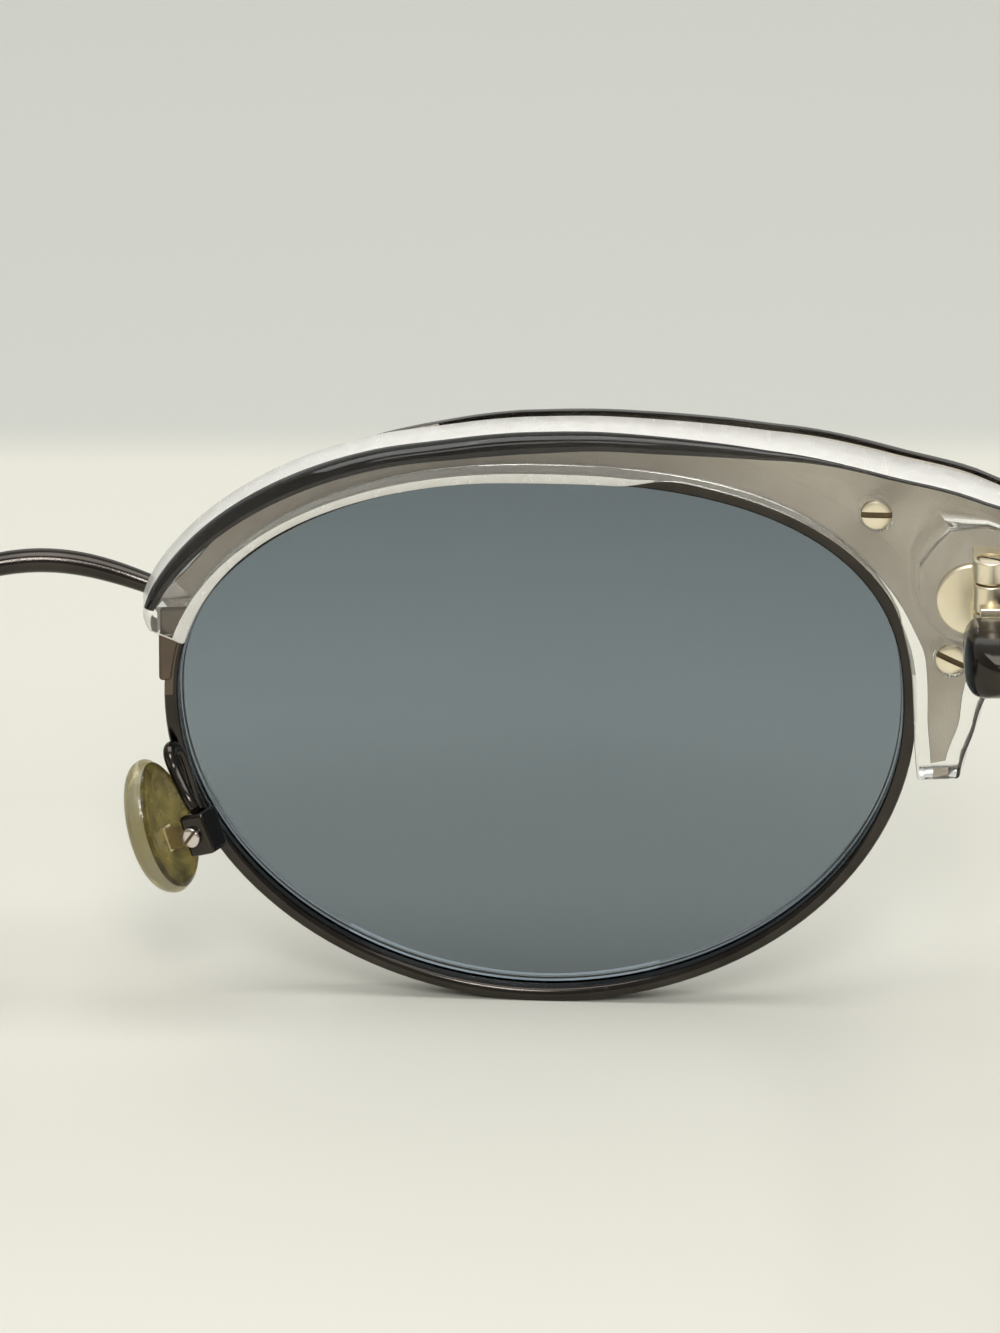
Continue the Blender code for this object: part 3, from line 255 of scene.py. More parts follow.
def finish(name, tones, rough, scales, bump, scratch=0.12, **plain):
    """A finish with patches of two tones, roughness that follows them, and a grain that can be felt."""
    material = bpy.data.materials.new(name)
    material.use_nodes = True
    tree = material.node_tree
    shader = tree.nodes["Principled BSDF"]
    wear = add(tree, "Group", node_tree=WEAR)
    for socket, scale in zip(WEAR_SCALES, scales):
        wear.inputs[socket].default_value = scale
    patches = wear.outputs["Patches"]
    blend = between(tree, patches, *TONE_SPREAD)
    tone = add(tree, "Mix", data_type="RGBA", Factor=blend, A=(*tones[0], 1), B=(*tones[1], 1))
    roughness = add(tree, "Math")
    tree.links.new(between(tree, patches, *rough), roughness.inputs[0])
    tree.links.new(between(tree, wear.outputs["Scratches"], 0.0, scratch), roughness.inputs[1])
    relief = add(tree, "Bump", Strength=bump[0], Distance=bump[1], Height=wear.outputs["Grain"])
    tree.links.new(tone.outputs["Result"], shader.inputs["Base Color"])
    tree.links.new(roughness.outputs["Value"], shader.inputs["Roughness"])
    tree.links.new(relief.outputs["Normal"], shader.inputs["Normal"])
    for socket, value in plain.items():
        shader.inputs[socket.replace("_", " ")].default_value = value
    return material


# %% The finishes of the frame
# Two tones, two roughnesses, the scales of patches, scratches and grain, and the grain's strength and depth
FINISHES = {
    "gunmetal": finish(
        "polished gunmetal", ((0.040, 0.036, 0.032), (0.066, 0.059, 0.052)), (0.10, 0.20),
        (260, 1500, 7000), (0.06, 0.00002), Metallic=1.0),
    "satin_plate": finish(
        "sandblasted taupe", ((0.88, 0.79, 0.68), (1.0, 0.93, 0.83)), (0.45, 0.58),
        (300, 2500, 5200), (0.5, 0.00006), scratch=0.05, Metallic=0.05),
    "brass": finish(
        "pale brass", ((0.84, 0.74, 0.54), (0.93, 0.85, 0.67)), (0.28, 0.40),
        (500, 2200, 9000), (0.12, 0.00003), Metallic=1.0),
    "nickel": finish(
        "polished nickel", ((0.62, 0.54, 0.50), (0.74, 0.68, 0.64)), (0.15, 0.26),
        (500, 2200, 9000), (0.08, 0.00002), Metallic=1.0),
    "clear_acetate": finish(
        "clear acetate", ((0.97, 0.965, 0.94), (0.985, 0.98, 0.96)), (0.0, 0.02),
        (120, 700, 1400), (0.03, 0.00006), scratch=0.04, Transmission_Weight=1.0, IOR=1.49),
    "grey_lens": finish(
        "grey tinted lens", ((0.20, 0.245, 0.285), (0.21, 0.255, 0.295)), (0.0, 0.01),
        (40, 260, 1200), (0.0, 0.00001), scratch=0.02, Transmission_Weight=1.0, IOR=1.5),
    "silicone": finish(
        "yellowed silicone", ((0.90, 0.80, 0.42), (1.0, 0.95, 0.70)), (0.02, 0.06),
        (320, 900, 3000), (0.04, 0.00004), scratch=0.05, Transmission_Weight=0.8, IOR=1.41),
}

# %% Finishes for a stretch or a strip of a part
FROSTED = finish("unpolished acetate", ((0.86, 0.85, 0.80), (0.93, 0.92, 0.88)), (0.55, 0.75),
                 (400, 1800, 8000), (0.3, 0.00004), Transmission_Weight=0.35, IOR=1.49)
MILKY = finish("scuffed acetate", ((0.90, 0.88, 0.82), (1.0, 0.99, 0.95)), (0.12, 0.35),
               (900, 1800, 5000), (0.15, 0.00004), Transmission_Weight=0.25, IOR=1.49)
# Painted shade: the finish of the brow's rounded edge, graded below from near black to pale.
PAINTED_SHADE_EDGE = finish("acetate's dark edge", ((0.93, 0.93, 0.92), (0.98, 0.98, 0.97)), (0.01, 0.03),
              (120, 700, 1400), (0.01, 0.00004), scratch=0.02, Transmission_Weight=1.0, IOR=1.49)
# The pad's dish is given a darker colour than the rest of the silicone.
DISH = finish("silicone stained by skin", ((0.008, 0.005, 0.001), (0.24, 0.185, 0.045)), (0.03, 0.12),
              (520, 900, 2200), (0.50, 0.00015), scratch=0.05, Transmission_Weight=0.4, IOR=1.41)
LUG = finish("brown plating", ((0.115, 0.088, 0.066), (0.15, 0.118, 0.09)), (0.30, 0.42),
             (260, 1500, 7000), (0.06, 0.00002), Metallic=0.8)
# The screws' slots: dark brown, partly dirt and partly painted shade in the recess.
SLOT_DIRT_AND_SHADE = finish("dark slot", ((0.10, 0.07, 0.03), (0.20, 0.14, 0.07)), (0.5, 0.8),
               (900, 2500, 9000), (0.3, 0.00004), Metallic=0.3)
print(len(FINISHES), "finishes for whole parts:", ", ".join(FINISHES))

# %% [markdown]
# Three of them change over their piece: the lens is darkest at its top, the plate is darker where it lies
# furthest forward, which is painted shade, and the rounded edge of the acetate is darker on its outer side,
# which is painted shade too. A ramp along a texture coordinate multiplies their colour. Painting an image
# would do as well, but a ramp needs no image and can be read.

# %% Grading a finish along a coordinate


def grade(material, source, channel, levels):
    """Multiplies a finish by colours along a texture coordinate, each level being (its value, colour)."""
    tree = material.node_tree
    base = tree.nodes["Principled BSDF"].inputs["Base Color"]
    parts = add(tree, "SeparateXYZ", Vector=add(tree, "TexCoord").outputs[source])
    first, last = levels[0][0], levels[-1][0]
    span = add(tree, "MapRange", Value=parts.outputs[channel], From_Min=first, From_Max=last)
    ramp = add(tree, "ValToRGB", Fac=span.outputs["Result"])
    spots = ramp.color_ramp.elements
    for index, (value, colour) in enumerate(levels):
        at = (value - first) / (last - first)
        spot = spots[index] if index < 2 else spots.new(at)
        spot.position, spot.color = at, (*colour, 1)
    graded = add(tree, "Mix", data_type="RGBA", blend_type="MULTIPLY", Factor=1.0,
                 A=base.links[0].from_socket, B=ramp.outputs["Color"])
    tree.links.new(graded.outputs["Result"], base)


grade(FINISHES["grey_lens"], "Object", "Z",
      ((0.0, (0.9, 0.9, 0.9)), (0.020, (1, 1, 1)), (0.040, (0.62, 0.64, 0.66))))
# Painted shade: the plate is darker where it lies furthest forward, towards the nose.
grade(FINISHES["satin_plate"], "Object", "Y",
      ((-0.0745, (0.66, 0.65, 0.66)), (-0.071, (0.92, 0.92, 0.9)), (-0.066, (1, 1, 1))))
# Painted shade: the rounded edge runs from near black on its outer side to pale at its rear.
grade(PAINTED_SHADE_EDGE, "UV", "Y",
      ((0.0, (0.012, 0.012, 0.012)), (0.4, (0.02, 0.021, 0.022)), (0.75, (0.14, 0.145, 0.155)),
       (1.0, (0.45, 0.46, 0.48))))
print("graded: lens, plate and rounded edge")

# %% [markdown]
# ## Tools for modelling
#
# Most parts here are bars and shells drawn along a line, so one helper does that: a circle is added,
# extruded as many times as there are stations, and each loop of points is set on its station. A curve
# with a bevel would draw a wire too, but it can't change its section on the way. The other helpers are
# the steps that come back again and again.

# %% Selecting, shading and drawing out
UP, DOWN, BACK = (0, 0, 1), (0, 0, -1), (0, 1, 0)
FLOOR = 0.0


def only(piece):
    """Leaves this piece alone selected and active."""
    if bpy.context.object and bpy.context.object.mode != "OBJECT":
        bpy.ops.object.mode_set(mode="OBJECT")
    bpy.ops.object.select_all(action="DESELECT")
    piece.select_set(True)
    bpy.context.view_layer.objects.active = piece


def smooth(piece, degrees=35):
    """Shades smooth, apart from the edges that turn by more than an angle."""
    only(piece)
    bpy.ops.object.shade_smooth_by_angle(angle=math.radians(degrees))


def draw_out(name, rings, place, closed=False, turn=35):
    """Extrudes a circle from station to station, and caps its ends or joins them."""
    stations = list(rings) + ([rings[0]] if closed else [])
    count = len(stations[0])
    bpy.ops.object.select_all(action="DESELECT")
    bpy.ops.mesh.primitive_circle_add(vertices=count, radius=1)
    piece = bpy.context.object
    piece.name = piece.data.name = name
    bpy.ops.object.mode_set(mode="EDIT")
    bpy.ops.mesh.select_all(action="SELECT")
    bpy.ops.mesh.extrude_repeat(steps=len(stations) - 1, offset=(0, 0, 1))
    work = bmesh.from_edit_mesh(piece.data)
    for vertex in work.verts:
        step = round(math.atan2(vertex.co.y, vertex.co.x) / (2 * math.pi / count)) % count
        vertex.co = place @ Vector(stations[round(vertex.co.z)][step])
    bmesh.update_edit_mesh(piece.data)
    bpy.ops.mesh.select_all(action="SELECT")
    bpy.ops.mesh.remove_doubles(threshold=1e-7)
    if not closed:
        bpy.ops.mesh.fill_holes(sides=0)
    bpy.ops.mesh.select_all(action="SELECT")
    bpy.ops.mesh.normals_make_consistent(inside=False)
    bpy.ops.object.mode_set(mode="OBJECT")
    smooth(piece, turn)
    return piece


def rest_on_floor(piece):
    """Wears a piece flat where it would reach under the surface it stands on."""
    for vertex in piece.data.vertices:
        vertex.co.z = max(vertex.co.z, FLOOR)


# %% Cutting, rounding and turning


def carve(piece, tool, operation="DIFFERENCE"):
    """Cuts a tool out of a piece, or joins it on, and clears the tool away."""
    only(piece)
    bpy.ops.object.modifier_add(type="BOOLEAN")
    step = piece.modifiers[-1]
    step.operation, step.solver, step.object = operation, "EXACT", tool
    bpy.ops.object.modifier_apply(modifier=step.name)
    bpy.data.objects.remove(tool)
    return piece


def soften(piece, width, segments=3, corner=40, turn=35):
    """Rounds the sharp edges of a piece by a width in millimetres."""
    only(piece)
    bpy.ops.object.modifier_add(type="BEVEL")
    step = piece.modifiers[-1]
    step.width, step.segments = width / 1000, segments
    step.limit_method, step.angle_limit = "ANGLE", math.radians(corner)
    bpy.ops.object.modifier_apply(modifier=step.name)
    smooth(piece, turn)
    return piece


def turned(profile, centre, axis, sides=32):
    """Rings of a piece turned on a lathe, its profile being (radius, height along the axis)."""
    axis = Vector(axis).normalized()
    first = axis.orthogonal().normalized()
    second = axis.cross(first)
    turns = [2 * math.pi * step / sides for step in range(sides)]
    rings = []
    for radius, height in profile:
        middle = Vector(centre) + axis * height
        rings.append([middle + (first * math.cos(turn) + second * math.sin(turn)) * radius for turn in turns])
    return rings


def drill(piece, place, profile, centre, axis, operation="DIFFERENCE"):
    """Cuts a turned hole into a piece, or joins a turned post onto it."""
    return carve(piece, draw_out("drill", turned(profile, centre, axis), place), operation)


def block(low, high):
    """Rings of a box from one corner to the opposite one."""
    (x0, y0, z0), (x1, y1, z1) = low, high
    return [[(x0, y0, z), (x1, y0, z), (x1, y1, z), (x0, y1, z)] for z in (z0, z1)]


# %% [markdown]
# ## Both halves from one
#
# The two halves of the glasses mirror each other. Each piece gets the name of the part it stands for,
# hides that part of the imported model, rides on the same body, and takes the same finish.

# %% Dressing a part on both sides
PIECES = []


def dress(piece, part):
    """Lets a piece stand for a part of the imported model."""
    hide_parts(part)
    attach(piece, BODY_OF[part])
    if not piece.data.materials:
        piece.data.materials.append(FINISHES[SLOT_OF[part]])
    PIECES.append(piece.name)


def dress_both(piece):
    """Lets a piece stand for the right-hand part of its name, and a mirrored copy for the left-hand one."""
    kind = piece.name
    only(piece)
    bpy.ops.object.duplicate()
    twin = bpy.context.object
    bpy.ops.object.mode_set(mode="EDIT")
    bpy.ops.mesh.select_all(action="SELECT")
    bpy.ops.transform.resize(value=(-1, 1, 1), center_override=(0, 0, 0))
    bpy.ops.mesh.flip_normals()
    bpy.ops.object.mode_set(mode="OBJECT")
    for each, side in ((piece, "right_"), (twin, "left_")):
        each.name = each.data.name = side + kind
        dress(each, side + kind)
    print(kind, len(piece.data.polygons), "faces a side")


# %% [markdown]
# ## Lens
#
# The real lens is a shallow bowl of tinted plastic with a V-shaped edge that sits in the rim's groove.
# Rings of its own outline, shrunk towards the middle and laid on the sphere, give an even curve that
# bends light as the lens does. Cutting it from a ball with a Boolean would leave long thin faces that
# show in the reflections.

# %% Lens: two bowls of rings joined round a V edge
STATIONS = 144
LENS_THICKNESS = 1.8
RIM_ANGLES = [index * 360 / STATIONS for index in range(STATIONS)]
LENS_EDGE = ((-0.1, -0.9), (-0.1, -0.4), (0.4, 0.0), (-0.1, 0.4), (-0.1, 0.9))


def lens_ring(share, depth):
    """The lens's outline shrunk to a share of its size."""
    ring = []
    for angle in RIM_ANGLES:
        u, w = outline(angle)
        u, w = u * share, LENS_MIDDLE + (w - LENS_MIDDLE) * share
        ring.append((u, sag(u, w) + depth, w))
    return ring


shares = [0.01] + [0.1 * step for step in range(1, 10)] + [0.96]
rings = [lens_ring(share, -LENS_THICKNESS / 2) for share in shares]
rings += [[edge_point(angle, offset, depth) for angle in RIM_ANGLES] for offset, depth in LENS_EDGE]
rings += [lens_ring(share, LENS_THICKNESS / 2) for share in reversed(shares)]
dress_both(draw_out("lens", rings, LENS_FRAME))

# %% [markdown]
# ## Eyewire
#
# A rim is rolled wire: a strip with a groove inside for the lens, bent to the lens's outline and closed
# at the nose by a split block and a screw. The strip's section is drawn along the outline. The block is
# rounded, joined on, split by a thin box and drilled for its screw.

# %% Sizes of the eyewire and the block of its lock
RIM_WIDTH = 0.95
RIM_REAR = 2.1
LOCK_WIDTH = 0.35
LOCK_DEPTHS = (-1.0, 2.0)
LOCK_ANGLES = (177.0, 174.0, 170.0, 166.0, 162.0, 158.0)
LOCK_SPLIT = 4.6
LOCK_GAP = 0.3
LOCK_OUTER = -LENS_HALF_WIDTH - RIM_WIDTH - LOCK_WIDTH
LOCK_LOW, LOCK_HIGH = (outline(LOCK_ANGLES[end], RIM_WIDTH / 2)[1] for end in (0, -1))
LOCK_SAG = sag(LOCK_OUTER, (LOCK_LOW + LOCK_HIGH) / 2)
LOCK_SCREW = (LOCK_OUTER + 0.62, LOCK_SAG + 1.2, LOCK_LOW + 0.55)
LOCK_HOLE = ((0.49, 1), (0.49, 0), (0.37, 0), (0.37, -5))
BROWN_FROM, BROWN_INSET = 0.3, 0.3
RIM_SECTION = ((0, -0.5), (0.55, 0), (0, 0.5), (0, 1.7), (0.02, 1.88), (0.08, 2.01), (0.2, 2.08),
               (0.35, 2.1), (0.75, 2.1), (0.88, 2.05), (0.95, 1.92), (0.95, -0.97), (0.88, -1.1),
               (0.75, -1.15), (0.2, -1.15), (0.07, -1.1), (0, -0.97))


def lock_rings(grow=0.0):
    """The lock's block, from the rim's middle outwards, grown by a clearance."""
    rings, outer = [], LOCK_OUTER - grow
    front, rear = LOCK_SAG + LOCK_DEPTHS[0] - grow, LOCK_SAG + LOCK_DEPTHS[1] + grow
    for angle in LOCK_ANGLES:
        inner, level = outline(angle, RIM_WIDTH / 2)
        level += grow if angle == LOCK_ANGLES[-1] else 0
        corners = ((outer, front), (inner, front), (inner, rear), (outer, rear))
        rings.append([(u, depth, level) for u, depth in corners])
    return rings


print("lock from", round(LOCK_LOW, 1), "to", round(LOCK_HIGH, 1), "mm above the lens's widest line")

# %% Eyewire with its lock, split and drilled
rings = [[edge_point(angle, offset, depth) for offset, depth in RIM_SECTION] for angle in RIM_ANGLES]
rim = draw_out("eyewire", rings, LENS_FRAME, closed=True)
carve(rim, soften(draw_out("lock", lock_rings(), LENS_FRAME), 0.25, segments=4), "UNION")
split = block((LOCK_OUTER - 1, LOCK_SAG - 4, LOCK_SPLIT - LOCK_GAP / 2),
              (LOCK_OUTER + 6, LOCK_SAG + 4, LOCK_SPLIT + LOCK_GAP / 2))
carve(rim, draw_out("split", split, LENS_FRAME))
drill(rim, LENS_FRAME, LOCK_HOLE, LOCK_SCREW, DOWN)
rest_on_floor(rim)
smooth(rim)
# The plating is brown round the lock, apart from the rim's inner edge, which stays black.
for material in (FINISHES["gunmetal"], LUG):
    rim.data.materials.append(material)
to_lens = LENS_FRAME.inverted()
for face in rim.data.polygons:
    u, _, w = to_lens @ face.center
    if u < 0 and BROWN_FROM < w < LOCK_HIGH + 0.1:
        face.material_index = int(u < nose_edge(w) - BROWN_INSET)
dress_both(rim)

# %% [markdown]
# ## Brow
#
# The brow is a bar of clear acetate that covers the top of the rim, fattens towards the temple and
# carries the hinge on a block. Its outer rear edge is rounded as real geometry, which bends the picture of
# the metal behind it; the dark crescent seen there is painted shade, a ramp of dark colour on the round's
# faces. The bar is drawn through slices that are square to the rim. Between the few slices that were
# measured, a smooth law fills in the others.

# %% Measured slices of the brow
BROW_FRONT = -1.4
BROW_REAR = 2.8
BROW_EDGE = 0.25
BROW_TAPER = 0.35
BROW_SLICES = 120
LIP_GAP = 0.15
# Each list runs from the nose to the temple as (angle round the lens, value).
BROW_GAPS = ((167, 0.15), (-4, 0.15), (-8.5, 0.35), (-11.8, 0.8))
BROW_WIDTHS = ((167, 2.0), (163, 2.7), (158, 3.1), (148, 3.6), (138, 3.85), (125, 3.7), (108.5, 3.35),
               (100, 3.05), (92, 3.1), (84, 3.65), (76, 3.6), (68, 3.9), (60, 4.7), (47, 7.25), (37, 10.8),
               (33, 12.2), (29, 12.1), (19, 9.15), (8, 5.9), (2, 4.7), (-4, 4.05), (-11.8, 3.3))
BROW_LEANS = ((167, -10), (163, 8), (158, 22), (148, 38), (138, 44), (125, 42), (108.5, 36), (100, 31),
              (92, 21), (84, 30), (76, 20), (68, 9), (60, -2), (47, -14), (37, -15), (33, -13), (29, -11),
              (19, -9), (8, -12), (2, -6), (-4, 4), (-11.8, 24))
BROW_ROUNDS = ((167, 0.3), (158, 0.8), (142, 1.2), (125, 1.35), (100, 1.3), (84, 1.2), (68, 0.8), (53, 0.3),
               (47, 0.25), (-11.8, 0.25))
BROW_LIPS = ((167, 1.1), (158, 1.05), (84, 1.05), (76, 0.1), (68, 0.05), (24, 0.05), (14, 0.3), (8, 0.35),
             (2, 0.35), (-4, 0.2), (-8.5, 0.05), (-11.8, 0.05))

# %% Laws that run smoothly through them


def smooth_value(stations, angle):
    """A value that runs smoothly through (angle, value) stations, which go down in angle."""
    last = len(stations) - 2
    index = next((spot for spot in range(last) if angle >= stations[spot + 1][0]), last)
    (start, low), (end, high) = stations[index], stations[index + 1]
    if low == high:
        return low
    before, after = stations[max(index - 1, 0)], stations[min(index + 2, last + 1)]
    leaving = (high - before[1]) / (end - before[0]) * (end - start)
    arriving = (after[1] - low) / (after[0] - start) * (end - start)
    t = (angle - start) / (end - start)
    held = (2 * t**3 - 3 * t**2 + 1) * low + (3 * t**2 - 2 * t**3) * high
    return held + (t**3 - 2 * t**2 + t) * leaving + (t**3 - t**2) * arriving


def brow_slice(angle):
    """The inner and outer (u, w) points of a slice of the brow."""
    reach = RIM_WIDTH + smooth_value(BROW_GAPS, angle)
    inner, beyond = Vector(outline(angle, reach)), Vector(outline(angle, reach + 1))
    lean = Matrix.Rotation(math.radians(smooth_value(BROW_LEANS, angle)), 2)
    return inner, inner + lean @ (beyond - inner) * smooth_value(BROW_WIDTHS, angle)


def slices(first, last):
    """Angles of the slices from a first to a last one."""
    return [first + (last - first) * index / BROW_SLICES for index in range(BROW_SLICES + 1)]


widest = max(smooth_value(BROW_WIDTHS, angle) for angle in slices(167, -11.8))
print("widest slice", round(widest, 2), "mm")

# %% The bar of the brow
SHARES = (0.12, 0.25, 0.38, 0.5, 0.62, 0.75, 0.88)
BREAK = 0.08
ROUND_STEPS = 8


def brow_section(angle, inset=0.0):
    """A slice of the brow: it leans in to a rounded rear edge, and its rear lips over the rim."""
    inner, outer = brow_slice(angle)
    width = (outer - inner).length
    across = (outer - inner) / width
    round_size, lip, edge = smooth_value(BROW_ROUNDS, angle), smooth_value(BROW_LIPS, angle), BROW_EDGE
    points = [(BREAK, BROW_FRONT + BREAK), (edge, BROW_FRONT)]
    points += [(width * share, BROW_FRONT) for share in SHARES]
    points += [(width - edge, BROW_FRONT), (width - BREAK, BROW_FRONT + BREAK), (width, BROW_FRONT + edge)]
    for step in range(ROUND_STEPS + 1):
        turn = math.pi / 2 * step / ROUND_STEPS
        depth = BROW_REAR - round_size * (1 - math.sin(turn))
        lean = BROW_TAPER * (depth - BROW_FRONT) / (BROW_REAR - BROW_FRONT)
        points.append((width - lean - round_size * (1 - math.cos(turn)), depth))
    flat = width - round_size - BROW_TAPER
    points += [(flat * share, BROW_REAR) for share in reversed(SHARES)]
    points += [(edge - lip + 0.6 * lip**2, BROW_REAR), (edge - lip, BROW_REAR)]
    points += [(BREAK - lip, BROW_REAR - BREAK), (-lip, BROW_REAR - edge)]
    points += [(-lip, RIM_REAR + LIP_GAP), (0, RIM_REAR + LIP_GAP), (0, BROW_FRONT + edge)]
    middle = Vector((width / 2, (BROW_FRONT + BROW_REAR) / 2))
    ring = []
    for point in points:
        point = Vector(point) + (middle - Vector(point)).normalized() * inset
        u, w = inner + across * point.x
        ring.append((u, sag(u, w) + point.y, w))
    return ring


# The ends are eased: the last slices shrink a little.
stations = [(167, 0.25), (166.9, 0.12), (166.7, 0.04)] + [(angle, 0.0) for angle in slices(166.4, -11.2)]
stations += [(-11.5, 0.04), (-11.7, 0.12), (-11.8, 0.25)]
sections = [brow_section(*station) for station in stations]
brow = draw_out("brow", sections, LENS_FRAME)
print("brow drawn through", len(sections), "slices")

# %% [markdown]
# The strips of the bar don't look alike. The top is scuffed, the groove and the lip are as the mill left
# them, and the rounded edge gets painted shade: a colour running from near black to pale stands in for the
# dark of the rim seen through it. The strips are told apart here, while the bar is still whole, and a UV
# across the rounded edge lets that painted shade run from dark to pale.

# %% Finishes strip by strip
TOP_STRIP, ROUND_STRIPS, LIP_STRIPS, GROOVE_STRIPS = (11,), range(12, 20), (28, 29, 30, 31), (32, 33)
CLEAR, SCUFFED, UNPOLISHED, PAINTED_SHADE = range(4)
END_STATIONS = 3
PAINTED_SHADE_UP_TO = 161
THIN_LIP = (8, 78)


def paint(piece, rings, place, materials, choose, spread=range(1)):
    """Gives each strip and stretch of a bar its own finish, and a UV that runs across the spread strips."""
    for material in materials:
        piece.data.materials.append(material)
    corners = KDTree(len(rings) * len(rings[0]))
    for index, ring in enumerate(rings):
        for spot, point in enumerate(ring):
            corners.insert(place @ Vector(point), index * len(ring) + spot)
    corners.balance()
    across = piece.data.uv_layers.new(name="across the bar")
    for face in piece.data.polygons:
        found = [corners.find(piece.data.vertices[vertex].co)[1] for vertex in face.vertices]
        spots = [spot % len(rings[0]) for spot in found]
        width = max(spots) - min(spots)
        strip = min(spots) if width == 1 else max(spots)
        if len(spots) > 4 or 1 < width < len(rings[0]) - 1:
            strip = -1
        face.material_index = choose(min(found) // len(rings[0]), strip)
        for loop, spot in zip(face.loop_indices, spots):
            across.data[loop].uv = (0.5, (spot - spread[0]) / len(spread))
    kinds = [face.material_index for face in piece.data.polygons]
    print([kinds.count(kind) for kind in range(len(materials))], "faces of each finish")


def brow_finish(station, strip):
    """The rounded edge gets painted shade, the groove is unpolished, and nose end, top and wide lip are
    scuffed.
    """
    angle = stations[station][0]
    if station < END_STATIONS:
        return SCUFFED
    # The rounded strips carry the painted shade, up to an angle near the nose.
    if strip in ROUND_STRIPS:
        return PAINTED_SHADE if angle < PAINTED_SHADE_UP_TO else SCUFFED
    if strip in LIP_STRIPS:
        return CLEAR if THIN_LIP[0] < angle < THIN_LIP[1] else SCUFFED
    if strip in GROOVE_STRIPS:
        return UNPOLISHED
    return SCUFFED if strip in TOP_STRIP else CLEAR


brow_finishes = (FINISHES["clear_acetate"], MILKY, FROSTED, PAINTED_SHADE_EDGE)
paint(brow, sections, LENS_FRAME, brow_finishes, brow_finish, ROUND_STRIPS)

# %% [markdown]
# ### The block for the hinge
#
# At the temple the acetate is carved into a raised block with a flat rear face, and a cutter leaves a
# cove all round it. The cove is what catches the light there, so it gets many small steps.

# %% End block with its cove
BLOCK_REAR = HINGE_BACK - HINGE_SETBACK
# Corners of the rear face and of the foot of the cove: outwards from the lens's edge, up from its widest line
BLOCK_CORNERS = (
    ((4.5, 7.2), (4.1, 5.9)),
    ((2.8, 7.7), (2.1, 6.5)),
    ((1.8, 8.7), (0.9, 7.9)),
    ((1.3, 10.3), (0.3, 9.7)),
    ((1.3, 12.7), (0.2, 12.9)),
    ((2.5, 14.4), (0.7, 15.2)),
    ((3.4, 15.4), (1.4, 17.0)),
    ((6.0, 15.7), (6.0, 16.4)),
    ((7.7, 15.2), (7.9, 15.7)),
    ((8.3, 13.6), (8.3, 13.6)),
    ((8.2, 9.6), (8.1, 9.6)),
    ((7.4, 7.5), (7.4, 6.9)),
)
COVE_STEPS = 12
BLOCK_EDGE = 0.35
FACE_MIDDLE = sum((Vector(face) for face, _ in BLOCK_CORNERS), Vector((0, 0))) / len(BLOCK_CORNERS)


def block_ring(foot_share, rise, inset=0.0):
    """A ring of the block, part of the way from its foot in the brow to its rear face."""
    ring = []
    for face, foot in BLOCK_CORNERS:
        face, foot = Vector(face), Vector(foot)
        corner = face + (foot - face) * foot_share - (face - FACE_MIDDLE).normalized() * inset
        u, w = corner.x + LENS_HALF_WIDTH, corner.y
        low = sag(u, w) + BROW_REAR
        high = (BLOCK_REAR - u * math.sin(WRAP)) / math.cos(WRAP)
        ring.append((u, low + rise if rise < 0 else low + (high - low) * rise, w))
    return ring


rings = [block_ring(1.0, -1.0)]
for step in range(COVE_STEPS + 1):
    turn = math.pi / 2 * step / COVE_STEPS
    rings.append(block_ring(1 - math.sin(turn), 0.9 * (1 - math.cos(turn))))
rings.append(block_ring(0, 1.0, BLOCK_EDGE))
carve(brow, draw_out("end block", rings, LENS_FRAME), "UNION")
print("block stands", round(BLOCK_REAR - sag(30, 10) - BROW_REAR, 2), "mm proud of the brow")

# %% Holes for the lock, the screws' posts and the hinge's stud
BROW_SCREWS = {"upper": (LENS_HALF_WIDTH - 1.9, 15.15), "lower": (LENS_HALF_WIDTH + 3.4, 4.55)}
SUNK = BROW_REAR - 0.7
POST_HOLE, HEAD_HOLE, STUD_HOLE = 1.05, 1.25, 0.9
LOCK_CLEARANCE = 0.12
DISC_PLACE = Vector((-1.1, -HINGE_SETBACK, -1.2))
carve(brow, draw_out("pocket", lock_rings(LOCK_CLEARANCE), LENS_FRAME))
for u, w in BROW_SCREWS.values():
    stepped = ((POST_HOLE, BROW_FRONT - 1), (POST_HOLE, SUNK), (HEAD_HOLE, SUNK), (HEAD_HOLE, BROW_REAR + 3))
    drill(brow, LENS_FRAME, stepped, (u, sag(u, w), w), BACK)
drill(brow, HINGE_FRAME, ((STUD_HOLE, -2.6), (STUD_HOLE, 1)), DISC_PLACE, BACK)
smooth(brow, 30)
dress_both(brow)

# %% [markdown]
# ## Trim plate
#
# A sandblasted metal plate lies on the front of the brow and shows through it from behind as a taupe
# band. It is a thin strip drawn through the same slices, so it follows the brow. Two posts stand on its
# back and take the screws.

# %% Trim plate
PLATE_REAR = BROW_FRONT - 0.1
PLATE_THICKNESS = 0.7
PLATE_FRONT = PLATE_REAR - PLATE_THICKNESS
PLATE_INNER = RIM_WIDTH - 0.35
PLATE_NOSE = ((177.5, 0.75), (175.0, 1.0), (172.0, 1.15), (169.0, 1.2))
PLATE_ANGLES = slices(167, -10.2)
# How far out the inner edge moves, and how far the outer edge stands proud of the brow
PLATE_INSETS = ((167, 0.0), (60, 0.0), (29, 0.6), (14, 1.1), (8, 1.5), (2, 1.5), (-4, 1.6), (-11.8, 2.4))
PLATE_PROUD = ((167, -0.5), (163, -0.6), (158, -1.0), (150, -1.6), (138, -1.7), (125, -1.1), (108.5, -0.3),
               (100, 0.1), (92, 0.25), (60, 0.35), (42, 0.5), (37, 0.4), (33, 0.0), (29, -0.7), (24, -1.2),
               (14, -1.7), (8, -1.6), (2, -1.2), (-4, -0.9), (-11.8, -1.2))


